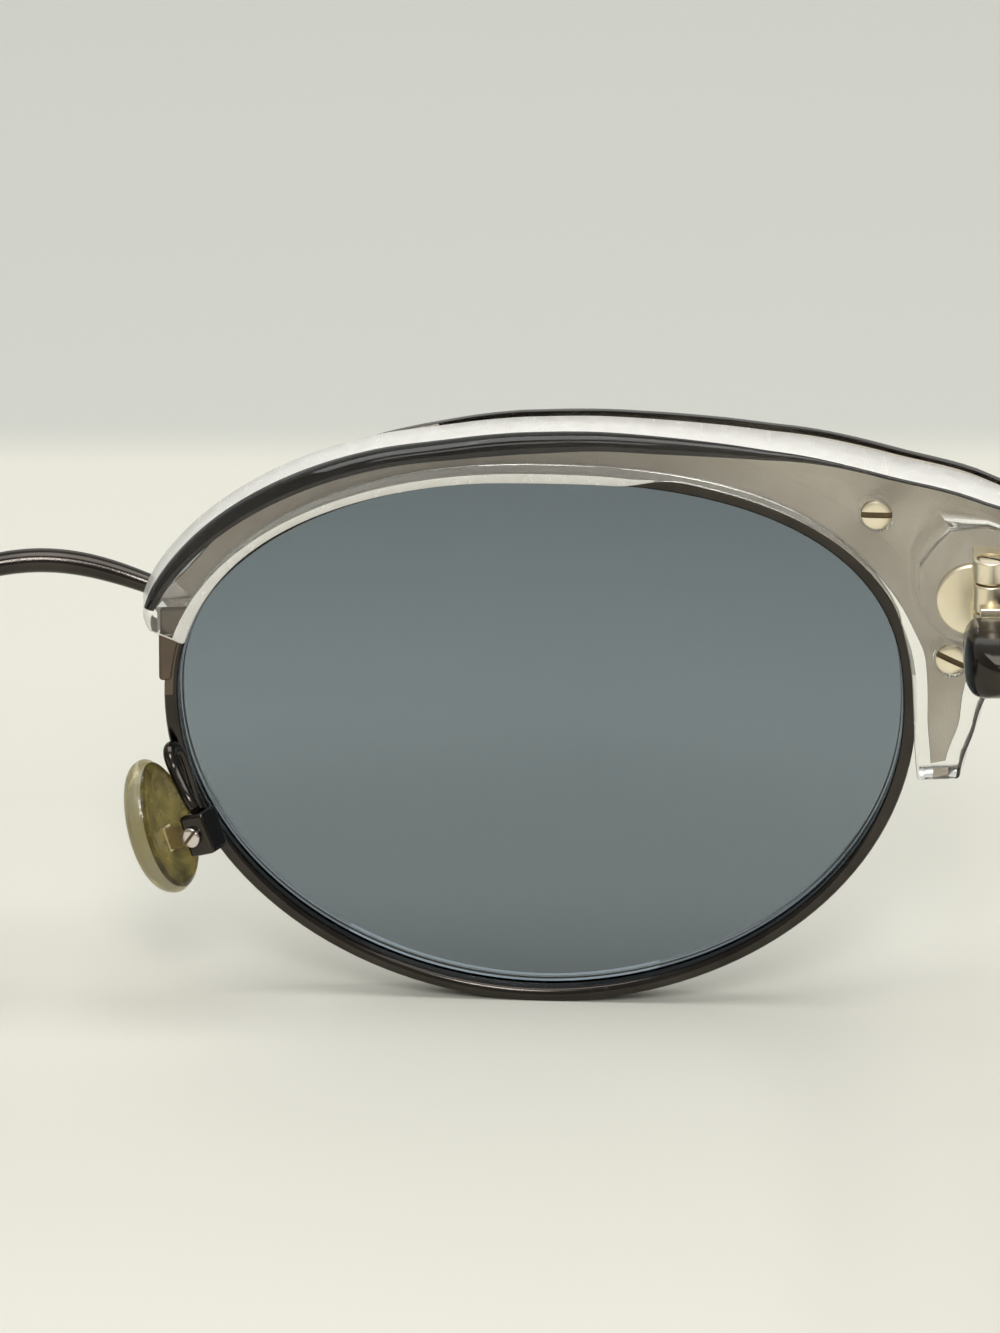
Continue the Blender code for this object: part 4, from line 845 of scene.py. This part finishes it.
def plate_section(inner, outer):
    """A slice of the plate, with its front edges broken."""
    inner, outer = Vector(inner), Vector(outer)
    width = (outer - inner).length
    across = (outer - inner) / width
    points = [(0.04, PLATE_REAR)] + [(width * share, PLATE_REAR) for share in SHARES[:-1]]
    points += [(max(width - 0.45, width * 0.9), PLATE_REAR), (width - 0.04, PLATE_REAR)]
    points += [(width, PLATE_REAR - 0.04), (width, PLATE_FRONT + 0.18)]
    points += [(width - 0.05, PLATE_FRONT + 0.05), (width - 0.18, PLATE_FRONT)]
    points += [(width * share, PLATE_FRONT) for share in reversed(SHARES)]
    points += [(0.18, PLATE_FRONT), (0.05, PLATE_FRONT + 0.05), (0, PLATE_FRONT + 0.18)]
    points += [(0, PLATE_REAR - 0.04)]
    ring = []
    for reach, depth in points:
        u, w = inner + across * reach
        ring.append((u, sag(u, w) + depth, w))
    return ring


rings = []
for angle, width in PLATE_NOSE:
    rings.append(plate_section(outline(angle, PLATE_INNER), outline(angle, PLATE_INNER + width)))
for angle in PLATE_ANGLES:
    inner = Vector(outline(angle, PLATE_INNER + smooth_value(PLATE_INSETS, angle)))
    outer = brow_slice(angle)[1]
    outer += (outer - inner).normalized() * smooth_value(PLATE_PROUD, angle)
    rings.append(plate_section(inner, outer))
plate = draw_out("brow_plate", rings, LENS_FRAME)
print("plate drawn through", len(rings), "slices")

# %% Its finish and its posts
BACK_STRIPS = 7
POST, THREAD = ((0.95, -0.35), (0.95, 2.1)), ((0.57, 0.05), (0.57, 3.1))


def plate_finish(station, strip):
    """The back is sandblasted, up to where it shows past the brow. The edges and the front are plated, and so
    is the last stretch at the temple end, whose dark is partly its polished end and partly painted shade of
    its round.
    """
    angle = PLATE_ANGLES[max(station - len(PLATE_NOSE), 0)]
    shows = strip == BACK_STRIPS and smooth_value(PLATE_PROUD, angle) > 0.05
    # Below -9.3 degrees the plate's end is plated dark: partly polished metal, partly painted shade.
    return int(strip > BACK_STRIPS or shows or angle < -9.3)


paint(plate, rings, LENS_FRAME, (FINISHES["satin_plate"], FINISHES["gunmetal"]), plate_finish)
for u, w in BROW_SCREWS.values():
    foot = (u, sag(u, w) + PLATE_REAR, w)
    drill(plate, LENS_FRAME, POST, foot, BACK, "UNION")
    drill(plate, LENS_FRAME, THREAD, foot, BACK)
smooth(plate)
dress_both(plate)

# %% [markdown]
# ## Screws
#
# Every screw here has the same shape at another size: a turned shank and a slightly domed head with a
# sawn slot. A helper turns one from a profile and saws the slot with a Boolean. Modelling the thread
# would cost thousands of faces that stay inside the holes.

# %% A slotted screw


def slotted_screw(name, place, centre, axis, head, shank, slot, turn):
    """A screw whose head's underside is at the centre and whose axis points out of the head. The head is
    given as (radius, height), the shank as (radius, length) and the slot as (width, depth)."""
    (radius, height), (thin, length), (wide, deep) = head, shank, slot
    axis = Vector(axis).normalized()
    profile = [(thin, -length), (thin, 0), (radius - 0.03, 0), (radius, 0.04), (radius, height - 0.16)]
    profile += [(radius - 0.03, height - 0.1), (radius - 0.1, height - 0.05), (radius * 0.6, height - 0.01)]
    profile += [(radius * 0.25, height)]
    made = draw_out(name, turned(profile, centre, axis, 48), place)
    across = Vector(UP) if abs(axis.z) < 0.5 else Vector(BACK)
    across = Matrix.Rotation(math.radians(turn), 3, axis) @ (across - axis * across.dot(axis)).normalized()
    along = axis.cross(across) * (radius + 1)
    across *= wide / 2
    ring = [-across - along, across - along, across + along, -across + along]
    saw = [[Vector(centre) + axis * rise + point for point in ring] for rise in (height - deep, height + 1)]
    carve(made, draw_out("saw", saw, place))
    smooth(made)
    # The slot's faces get the second finish: dirt and painted shade in the recess.
    for material in (FINISHES[SLOT_OF["right_" + name]], SLOT_DIRT_AND_SHADE):
        made.data.materials.append(material)
    to_screw = place.inverted()
    for face in made.data.polygons:
        spot = to_screw @ face.center - Vector(centre)
        within = abs(spot.dot(across)) < across.length_squared * 1.02
        face.material_index = int(within and spot.dot(axis) > height - deep - 0.01)
    dress_both(made)


# %% The screws of brow, lock and nose pad
for kind, turn in (("upper", 0), ("lower", 25)):
    u, w = BROW_SCREWS[kind]
    seat = (u, sag(u, w) + SUNK + 0.05, w)
    slotted_screw(kind + "_brow_screw", LENS_FRAME, seat, BACK, (1.1, 0.5), (0.5, 3.1), (0.42, 0.2), turn)
lock_shank = (0.3, LOCK_HIGH - LOCK_LOW - 1.2)
slotted_screw("rim_screw", LENS_FRAME, LOCK_SCREW, DOWN, (0.42, 0.5), lock_shank, (0.2, 0.2), 0)
slotted_screw("pad_screw", PAD_FRAME, (0, 1.15, 0), BACK, (0.72, 0.4), (0.32, 2.2), (0.22, 0.2), 35)

# %% [markdown]
# ## Hinge
#
# A three-barrel hinge: two knuckles stand on a disc that is riveted into the acetate, and the temple's
# middle knuckle turns between them on a screw. Each of the two is the outline of a barrel with a tongue,
# extruded along the pin and rounded at its edges. The middle one is a turned barrel with a tang joined
# on.

# %% Hinge base and its screw
KNUCKLE_RADIUS = 1.25
KNUCKLE_LEVELS = ((-2.75, -1.15), (-1.0, 1.0), (1.15, 2.75))
KNUCKLE_EDGE = 0.12
DISC_REAR = -HINGE_SETBACK + 0.65
DISC = ((0.8, -2.4), (0.8, 0.0), (2.6, 0.0), (2.6, 0.42), (2.56, 0.52), (2.48, 0.58), (2.38, 0.6))
PIN_HOLE, PIN_HEAD_HOLE = 0.68, 1.0


def knuckle(low, high, reach):
    """A barrel round the pin with a tongue that runs to a distance in front of it."""
    ring = []
    for step in range(25):
        turn = math.pi * step / 24
        ring.append((KNUCKLE_RADIUS * math.cos(turn), KNUCKLE_RADIUS * math.sin(turn)))
    ring += [(-KNUCKLE_RADIUS, -reach), (KNUCKLE_RADIUS, -reach)]
    return [[(x, y, z) for x, y in ring] for z in (low, high)]


base = draw_out("hinge_base", turned(DISC, DISC_PLACE + Vector((0, 0.05, 0)), BACK, 64), HINGE_FRAME)
for low, high in (KNUCKLE_LEVELS[0], KNUCKLE_LEVELS[2]):
    barrel = draw_out("barrel", knuckle(low, high, -DISC_REAR + 0.2), HINGE_FRAME)
    carve(base, soften(barrel, KNUCKLE_EDGE, corner=60), "UNION")
bore = ((PIN_HOLE, -3.5), (PIN_HOLE, 2.15), (PIN_HEAD_HOLE, 2.15), (PIN_HEAD_HOLE, 3.75))
drill(base, HINGE_FRAME, bore, (0, 0, 0), UP)
smooth(base)
dress_both(base)
slotted_screw("hinge_screw", HINGE_FRAME, (0, 0, 2.25), UP, (0.9, 0.5), (0.56, 5.0), (0.3, 0.25), 30)

# %% The temple's knuckle with its tang
TANG_BLOCKS = (((-0.8, 0.2, -1.0), (0.8, 2.0, -0.3)), ((-0.8, 1.5, -2.6), (0.8, 6.35, -0.9)))
barrel = [(KNUCKLE_RADIUS, level) for level in KNUCKLE_LEVELS[1]]
middle = draw_out("temple_hinge", turned(barrel, (0, 0, 0), UP, 48), HINGE_FRAME)
soften(middle, KNUCKLE_EDGE, corner=60)
for low, high in TANG_BLOCKS:
    carve(middle, soften(draw_out("tang", block(low, high), HINGE_FRAME), 0.1), "UNION")
drill(middle, HINGE_FRAME, ((PIN_HOLE, -3), (PIN_HOLE, 3)), (0, 0, 0), UP)
smooth(middle)
dress_both(middle)

# %% [markdown]
# ## Temple
#
# The temple is a metal strip that thins to a wire core, and the wire runs inside a clear acetate tip that
# hooks down behind the ear. Strip, core and tip share one middle line: straight, then a bend, then
# straight again. Each is drawn along it with its own section, all of them a rectangle with rounded
# corners, which the core rounds to a circle.

# %% Middle line of the temple
TEMPLE_LENGTH = 145.0
BEND_RADIUS = 22.0
BEND_ANGLE = math.radians(45.0)
BEND_STEPS = 16
ARM_LOWER = 2.75
ARM_OUTWARD = 2.2
TIP_END_HEIGHT = 0.7
TIP_INWARD = 2.0
ARM_Z = left_pin.z - ARM_LOWER
TIP_STRAIGHT = (ARM_Z - TIP_END_HEIGHT - BEND_RADIUS * (1 - math.cos(BEND_ANGLE))) / math.sin(BEND_ANGLE)
BEND_START = TEMPLE_LENGTH - BEND_RADIUS * BEND_ANGLE - TIP_STRAIGHT
BEND_END = BEND_START + BEND_RADIUS * BEND_ANGLE
BEND_LENGTHS = [BEND_START + BEND_RADIUS * BEND_ANGLE * step / BEND_STEPS for step in range(BEND_STEPS + 1)]
TIP_MOUTH = BEND_START - 5.0
CORE_END = TEMPLE_LENGTH - 9.0


def temple_section(length, half_height, half_thickness, corner, sides=5):
    """A section of the temple square to its middle line, with rounded corners."""
    along = length - BEND_START
    turned_by = min(max(along / BEND_RADIUS, 0.0), BEND_ANGLE)
    straight = max(along - BEND_RADIUS * BEND_ANGLE, 0.0)
    back = min(length, BEND_START) + BEND_RADIUS * math.sin(turned_by) + straight * math.cos(turned_by)
    up = -ARM_LOWER - BEND_RADIUS * (1 - math.cos(turned_by)) - straight * math.sin(turned_by)
    outward = ARM_OUTWARD - TIP_INWARD * (max(along, 0.0) / (TEMPLE_LENGTH - BEND_START)) ** 2
    ring = []
    for quarter in range(4):
        x_sign, z_sign = ((1, 1), (-1, 1), (-1, -1), (1, -1))[quarter]
        for step in range(sides):
            turn = math.pi / 2 * (quarter + step / (sides - 1))
            across = x_sign * (half_thickness - corner) + corner * math.cos(turn)
            rise = z_sign * (half_height - corner) + corner * math.sin(turn)
            y, z = back + rise * math.sin(turned_by), up + rise * math.cos(turned_by)
            ring.append((outward + across, y, z))
    return ring


def round_section(length, radius):
    """A round section of the temple's core, or of the bore for it."""
    return temple_section(length, radius, radius, radius)


print("bend starts", round(BEND_START, 1), "mm behind the pin; straight tip", round(TIP_STRAIGHT, 1), "mm")

# %% Arm with its head
SHOULDER = TIP_MOUTH - 0.3
CORE_RADIUS = 0.6
CORE_TIP_RADIUS = 0.4
ARM_STATIONS = ((-2.05, 2.35, 0.6), (-1.8, 2.6, 0.72), (-1.45, 2.75, 0.75), (0.95, 2.85, 0.75),
                (20.0, 2.6, 0.75), (45.3, 2.2, 0.75), (69.7, 1.8, 0.75), (84.5, 1.6, 0.75),
                (SHOULDER, 1.6, 0.75))
HEAD_STATIONS = ((0.0, 0.55), (0.12, 0.75), (0.35, 0.9), (0.7, 0.97), (1.2, 1.0), (4.6, 1.0), (5.6, 0.96),
                 (6.4, 0.88), (7.1, 0.74), (7.7, 0.56), (8.1, 0.36))
HEAD_FRONT = 1.75
HEAD_HALF_HEIGHT = 2.1
HEAD_OUTER = ARM_OUTWARD + 0.65
HEAD_DEPTH = HEAD_OUTER + 2.0
TANG_SLOTS = (((-0.9, 0.2, -1.1), (0.9, 2.1, -0.2)), ((-0.9, 1.4, -2.7), (0.9, 6.45, -0.8)))


def head_section(length, share):
    """A slice of the head, round towards the face and flush with the arm's outer side."""
    half_height, y = HEAD_HALF_HEIGHT * share, HEAD_FRONT + length
    depth = HEAD_DEPTH * (0.25 + 0.75 * share)
    ring = [(HEAD_OUTER, y, -ARM_LOWER - half_height)]
    for step in range(17):
        turn = math.pi * (step / 16 - 0.5)
        bulge = abs(math.cos(turn)) ** 0.7
        level = half_height * math.copysign(abs(math.sin(turn)) ** 0.8, turn)
        ring.append((HEAD_OUTER - depth + 1.2 * share * (1 - bulge), y, -ARM_LOWER + level))
    ring.append((HEAD_OUTER, y, -ARM_LOWER + half_height))
    return ring


rings = [temple_section(length, height, thick, 0.3) for length, height, thick in ARM_STATIONS]
for length in [SHOULDER + 0.01] + BEND_LENGTHS + [BEND_END + 12, CORE_END - 0.2]:
    rings.append(round_section(length, CORE_RADIUS))
rings.append(round_section(CORE_END, CORE_TIP_RADIUS))
arm = draw_out("temple_arm", rings, HINGE_FRAME)
rings = [head_section(*station) for station in HEAD_STATIONS]
carve(arm, draw_out("head", rings, HINGE_FRAME, turn=50), "UNION")
for low, high in TANG_SLOTS:
    carve(arm, draw_out("tang slot", block(low, high), HINGE_FRAME))
smooth(arm, 40)
dress_both(arm)

# %% [markdown]
# ### Tip
#
# The tip is clear acetate, so the core inside shows. It is a solid bar with a bore that the core passes
# through. Its end is rounded all over, except for the small flat that the glasses stand on.

# %% Tip with its bore
TIP_STATIONS = ((-5.0, 1.75), (-4.0, 1.95), (0.0, 2.1), (8.0, 2.3), (20.0, 2.6), (33.0, 2.9), (43.0, 3.1))
TIP_THICK = 1.5
# How far before the end a slice lies, and how much lower and thinner it is
TIP_END = ((3.0, 0.15, 0.0), (2.0, 0.4, 0.05), (1.2, 0.75, 0.18), (0.5, 1.15, 0.42), (0.15, 1.5, 0.7),
           (0.0, 1.9, 0.95))
CORE_BORE = 0.75


def tip_height(length):
    """The tip's half height at a length along the temple."""
    along = length - BEND_START
    for (start, low), (end, high) in zip(TIP_STATIONS, TIP_STATIONS[1:]):
        if along <= end:
            return low + (high - low) * max(along - start, 0) / (end - start)
    return TIP_STATIONS[-1][1]


lengths = [BEND_START - 4] + BEND_LENGTHS
lengths += [BEND_END + 6, BEND_END + 12, BEND_END + 20, TEMPLE_LENGTH - 8.0, TEMPLE_LENGTH - 4.5]
rings = [temple_section(TIP_MOUTH, tip_height(TIP_MOUTH) - 0.1, 1.05, 0.7)]
rings += [temple_section(TIP_MOUTH + 0.3, tip_height(TIP_MOUTH) + 0.1, 1.3, 0.8)]
rings += [temple_section(length, tip_height(length), TIP_THICK, 0.9) for length in lengths]
for short, lower, thinner in TIP_END:
    height, thick = tip_height(TEMPLE_LENGTH) - lower, TIP_THICK - thinner
    rings.append(temple_section(TEMPLE_LENGTH - short, height, thick, min(0.9, thick * 0.8)))
tip = draw_out("temple_tip", rings, HINGE_FRAME)
lengths = [CORE_END + 0.3, BEND_END + 12] + BEND_LENGTHS[::-1] + [TIP_MOUTH - 1]
carve(tip, draw_out("bore", [round_section(length, CORE_BORE) for length in lengths], HINGE_FRAME))
rest_on_floor(tip)
smooth(tip, 40)
dress_both(tip)

# %% [markdown]
# ## Bridge and pad arms
#
# Both are bent wire. A path gives the bend, and a round section is carried along it without twisting. The
# bridge thins towards its feet, where it is soldered to the fronts of the trim plates.

# %% Carrying a round wire along a path
# The last rings of an end: how much of the radius is left, and how far on they lie as a share of it
WIRE_END = ((0.96, 0.12), (0.85, 0.21), (0.6, 0.27))


def wire(name, path, radii, place, sides=24):
    """A round wire along a path, with softly broken ends."""
    rings, side = [], None
    turns = [2 * math.pi * step / sides for step in range(sides)]
    for index, point in enumerate(path):
        ahead = (path[min(index + 1, len(path) - 1)] - path[max(index - 1, 0)]).normalized()
        side = ahead.orthogonal() if side is None else side - ahead * side.dot(ahead)
        side.normalize()
        other = ahead.cross(side)
        ring = [point + (side * math.cos(turn) + other * math.sin(turn)) * radii[index] for turn in turns]
        ends = [[point + (corner - point) * share + ahead * radii[index] * rise for corner in ring]
                for share, rise in WIRE_END]
        if index == 0:
            ends = [[corner - 2 * (corner - point).project(ahead) for corner in end] for end in ends]
            rings += list(reversed(ends)) + [ring]
        elif index == len(path) - 1:
            rings += [ring] + ends
        else:
            rings.append(ring)
    return draw_out(name, rings, place, turn=50)


def smooth_path(points, steps):
    """A curve through the points, with a few steps to each span."""
    path, last = [], len(points) - 1
    for index in range(last):
        before, start = Vector(points[max(index - 1, 0)]), Vector(points[index])
        end, after = Vector(points[index + 1]), Vector(points[min(index + 2, last)])
        for step in range(steps):
            t = step / steps
            bend = (2 * before - 5 * start + 4 * end - after) * t**2
            bend += (3 * start - before - 3 * end + after) * t**3
            path.append(0.5 * (2 * start + (end - before) * t + bend))
    return path + [Vector(points[-1])]


# %% Bridge
BRIDGE_RADIUS = 0.86
BRIDGE_FOOT_RADIUS = 0.68
BRIDGE_RISE = 1.7
BRIDGE_BOW = 1.2
BRIDGE_STEPS = 32
SOLDER = 0.1
FOOT_U, FOOT_W = -LENS_HALF_WIDTH - 1.3, 6.3
foot_depth = sag(FOOT_U, FOOT_W)
foot_x = LENS_X + FOOT_U * math.cos(WRAP) - foot_depth * math.sin(WRAP)
front_of_foot = FOOT_U * math.sin(WRAP) + (foot_depth + PLATE_REAR - PLATE_THICKNESS) * math.cos(WRAP)
bridge_y = FRONT_Y + front_of_foot - SOLDER - BRIDGE_FOOT_RADIUS
path, radii = [], []
for step in range(2 * BRIDGE_STEPS + 1):
    share = step / BRIDGE_STEPS - 1
    lift = math.cos(share * math.pi / 2) ** 0.9 if abs(share) < 1 else 0.0
    bow = BRIDGE_BOW * (1 - share**2) ** 1.5
    path.append(Vector((foot_x * share, bridge_y - bow, FOOT_W + LENS_Z + BRIDGE_RISE * lift)))
    radii.append(BRIDGE_RADIUS + (BRIDGE_FOOT_RADIUS - BRIDGE_RADIUS) * share**2)
dress(wire("bridge_wire", path, radii, Matrix.Scale(0.001, 4)), "bridge")
print("bridge", round(2 * foot_x, 1), "mm between its feet")

# %% Pad arms
PAD_ARM_RADIUS = 0.45
NOTCH_RADIUS = 0.53
# Out from the lens's edge, up from its widest line, back from the sphere
PAD_ARM_PATH = (
    (0.70, -11.0, 2.65),
    (0.50, -7.7, 2.65),
    (0.30, -5.0, 2.70),
    (0.45, -3.85, 2.95),
    (0.75, -3.50, 3.50),
    (0.85, -3.85, 4.05),
    (0.70, -4.7, 4.50),
    (0.40, -5.6, 5.40),
    (0.15, -6.3, 6.10),
    (-0.05, -7.0, 6.45),
)


def pad_arm(name, radius):
    """A wire along the pad arm's path."""
    points = []
    for out, w, depth in PAD_ARM_PATH:
        u = nose_edge(w) - out
        points.append((u, sag(u, w) + depth, w))
    path = smooth_path(points, 6)
    return wire(name, path, [radius] * len(path), LENS_FRAME, 20)


dress_both(pad_arm("pad_arm", PAD_ARM_RADIUS))

# %% [markdown]
# ## Nose pads
#
# Each pad is an oval of clear silicone that has yellowed. It is dished at the back round a small metal
# tab, and the tab hangs in a box on the pad arm, held by a cross screw. The oval is drawn through rings
# from the middle of its dish, over its thick rim, to the face that touches the skin. A squashed sphere
# would do for the outside, but not for the dish and its lip.

# %% Nose pad
PAD_HALF_LENGTH = 4.9
PAD_HALF_WIDTH = 3.3
PAD_TAPER = 0.12
PAD_RISE = 1.0
PAD_BACK = 2.4
PAD_SIDES = 48
PAD_PROFILE = ((0.05, 0.17), (0.30, 0.15), (0.55, 0.08), (0.66, -0.06), (0.74, -0.24), (0.81, -0.3),
               (0.87, -0.26), (0.93, -0.05), (0.97, 0.2), (0.995, 0.4), (1.00, 0.6), (0.985, 0.9),
               (0.96, 1.15), (0.91, 1.4), (0.84, 1.6), (0.72, 1.74), (0.55, 1.82), (0.3, 1.87), (0.05, 1.9))
DISH_RINGS = 7

rings = []
for scale, depth in PAD_PROFILE:
    ring = []
    for step in range(PAD_SIDES):
        turn = 2 * math.pi * step / PAD_SIDES
        across = PAD_HALF_WIDTH * scale * math.cos(turn) / (1 + PAD_TAPER * math.sin(turn))
        ring.append((PAD_BACK + depth, across, PAD_HALF_LENGTH * scale * math.sin(turn) + PAD_RISE))
    rings.append(ring)
pad = draw_out("nose_pad", rings, PAD_FRAME, turn=180)
# The first rings, those of the dish, get the darker silicone.
paint(pad, rings, PAD_FRAME, (FINISHES["silicone"], DISH), lambda station, strip: int(station < DISH_RINGS))
carve(pad, draw_out("pocket", block((0.0, -0.52, -0.9), (3.2, 0.52, 0.9)), PAD_FRAME))
smooth(pad, 50)
dress_both(pad)

# %% Its tab and the box it hangs in
TAB_RADIUS, TAB_END, TAB_HALF = 0.8, 3.1, 0.42
CROSS_HOLE = 0.4

tab_ring = []
for step in range(17):
    turn = math.pi * (0.5 + step / 16)
    tab_ring.append((TAB_RADIUS * math.cos(turn) * 0.85, TAB_RADIUS * math.sin(turn)))
tab_ring += [(TAB_END, -TAB_RADIUS), (TAB_END, TAB_RADIUS)]
tab = draw_out("pad_insert", [[(x, y, z) for x, z in tab_ring] for y in (-TAB_HALF, TAB_HALF)], PAD_FRAME)
soften(tab, 0.08, corner=60)
drill(tab, PAD_FRAME, ((CROSS_HOLE, -2), (CROSS_HOLE, 2)), (0, 0, 0), BACK)
smooth(tab)
dress_both(tab)

box = draw_out("pad_box", block((-1.3, -1.1, -1.5), (0.7, 1.1, 1.5)), PAD_FRAME)
soften(box, 0.28, segments=4)
carve(box, draw_out("slot", block((-0.8, -0.55, -2.5), (1.7, 0.55, 2.5)), PAD_FRAME))
drill(box, PAD_FRAME, ((CROSS_HOLE, -2.1), (CROSS_HOLE, 2.1)), (0, 0, 0), BACK)
carve(box, pad_arm("notch", NOTCH_RADIUS))
smooth(box)
dress_both(box)
print(len(PIECES), "pieces stand for", len(frame["nodes"]), "parts")

# %% [markdown]
# ## Table and backdrop
#
# The glasses stand on an ivory table in front of a pale grey wall. The camera looks down on them, so one
# flat plane can show both: its colour changes from ivory to grey at a soft line beyond them. A plane
# swept up into a wall would show the same, but it would need a bend that catches the light. The colours
# are the ones in the photograph, so the lamps can stay at a plain level.

# %% Table and wall
TABLE_TONE = (0.755, 0.745, 0.665)
WALL_TONE = (0.60, 0.605, 0.56)
TABLE_WIDTH, TABLE_DEPTH = 6.0, 5.0
WALL_Y = -0.19
BLEND = 0.006


def soft_step(tree, source, start, end):
    """A mask that rises softly from 0 to 1 between two values of a texture coordinate's Y."""
    parts = add(tree, "SeparateXYZ", Vector=add(tree, "TexCoord").outputs[source])
    step = add(tree, "MapRange", interpolation_type="SMOOTHSTEP", Value=parts.outputs["Y"],
               From_Min=start, From_Max=end)
    return step.outputs["Result"]


bpy.ops.object.select_all(action="DESELECT")
bpy.ops.mesh.primitive_plane_add(size=1, location=(0, 0, 0))
ground = bpy.context.object
ground.name = "table and wall"
ground.scale = (TABLE_WIDTH, TABLE_DEPTH, 1)
backdrop = finish("ivory table and grey wall", (WALL_TONE, TABLE_TONE), (0.75, 0.85),
                  (6, 40, 900), (0.02, 0.0001), scratch=0.0)
tree = backdrop.node_tree
mixer = tree.nodes["Principled BSDF"].inputs["Base Color"].links[0].from_node
line = soft_step(tree, "Object", (WALL_Y - BLEND) / TABLE_DEPTH, (WALL_Y + BLEND) / TABLE_DEPTH)
tree.links.new(line, mixer.inputs["Factor"])
ground.data.materials.append(backdrop)
ground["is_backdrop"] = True
print("the wall's colour starts", -WALL_Y * 1000, "mm in front of the glasses' middle")

# %% [markdown]
# ## Light and camera
#
# Three large soft lamps light the glasses, and a row of ten small ones draws bright lines on the metal.
# The room round them is pale over the wall and dark behind the camera, so that glass and plating have
# something to show. The camera stands far off behind the wearer's right lens, 20 degrees above it, with a
# long lens, because the photograph shows hardly any perspective over the frame.

# %% Lamps and world
AIM = Vector((-0.035, -0.06, 0.02))
ROOM_PALE = (0.62, 0.63, 0.60, 1)
ROOM_DARK = (0.32, 0.31, 0.29, 1)
SMALL_LAMPS = 10


def lamp(name, spot, size, watts):
    """A soft lamp of a width and height, turned to the glasses."""
    bpy.ops.object.light_add(type="AREA", location=spot)
    made = bpy.context.object
    made.name = name
    made.data.shape = "RECTANGLE"
    made.data.size, made.data.size_y = size
    made.data.energy = watts
    made.rotation_euler = (AIM - Vector(spot)).to_track_quat("-Z", "Y").to_euler()


lamp("ceiling lamp", (-0.05, 0.05, 1.0), (1.0, 0.6), 5.5)
lamp("lamp behind the camera", (-0.15, 0.75, 0.8), (0.8, 0.25), 1.5)
lamp("front panel", (-0.05, -0.75, 0.55), (0.9, 0.3), 0.5)
for step in range(SMALL_LAMPS):
    lamp("row of small lamps", (-0.145 + 0.024 * step, 0.8, 0.65), (0.007, 0.3), 0.3)

world = bpy.data.worlds.new("room")
bpy.context.scene.world = world
world.use_nodes = True
tree = world.node_tree
darkness = soft_step(tree, "Generated", -0.7, 0.4)
shade = add(tree, "Mix", data_type="RGBA", Factor=darkness, A=ROOM_PALE, B=ROOM_DARK)
tree.links.new(shade.outputs["Result"], tree.nodes["Background"].inputs["Color"])
tree.nodes["Background"].inputs["Strength"].default_value = 1.0

# %% Camera
PIXELS = (1000, 1333)
PIXELS_PER_MM = 14.2
AZIMUTH, ELEVATION = math.radians(180), math.radians(20)
DISTANCE = 1.0
SENSOR = 36
LENS_CENTRE_PIXEL = (545, 733)
LENS_CENTRE = Vector((-LENS_X, FRONT_Y + 3.3, LENS_Z - 3.05)) / 1000

level = math.cos(ELEVATION)
back = Vector((math.sin(AZIMUTH) * level, -math.cos(AZIMUTH) * level, math.sin(ELEVATION)))
turn = (-back).to_track_quat("-Z", "Y")
across, upward = turn @ Vector((1, 0, 0)), turn @ Vector((0, 1, 0))
pixel = 0.001 / PIXELS_PER_MM
right_by, down_by = (size / 2 - at for size, at in zip(PIXELS, LENS_CENTRE_PIXEL))
target = LENS_CENTRE + (across * right_by * pixel - upward * down_by * pixel)
bpy.ops.object.camera_add(location=target + back * DISTANCE)
camera = bpy.context.object
camera.rotation_mode = "QUATERNION"
camera.rotation_quaternion = turn
camera.data.sensor_width = SENSOR
camera.data.lens = SENSOR * DISTANCE / (PIXELS[1] * pixel)
camera.data.clip_start, camera.data.clip_end = 0.01, 20
bpy.context.scene.camera = camera
bpy.context.scene.view_settings.view_transform = "Standard"
print("focal length", round(camera.data.lens), "mm")

# %% [markdown]
# ## Handing over
#
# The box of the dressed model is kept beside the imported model's, to see that no piece has outgrown it.

# %% Sizes and the end
DRESSED_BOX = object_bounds()
growth = [[round((new - old) * 1000, 2) for new, old in zip(*pair)] for pair in zip(DRESSED_BOX, CAD_BOX)]
print("grown by mm", growth)
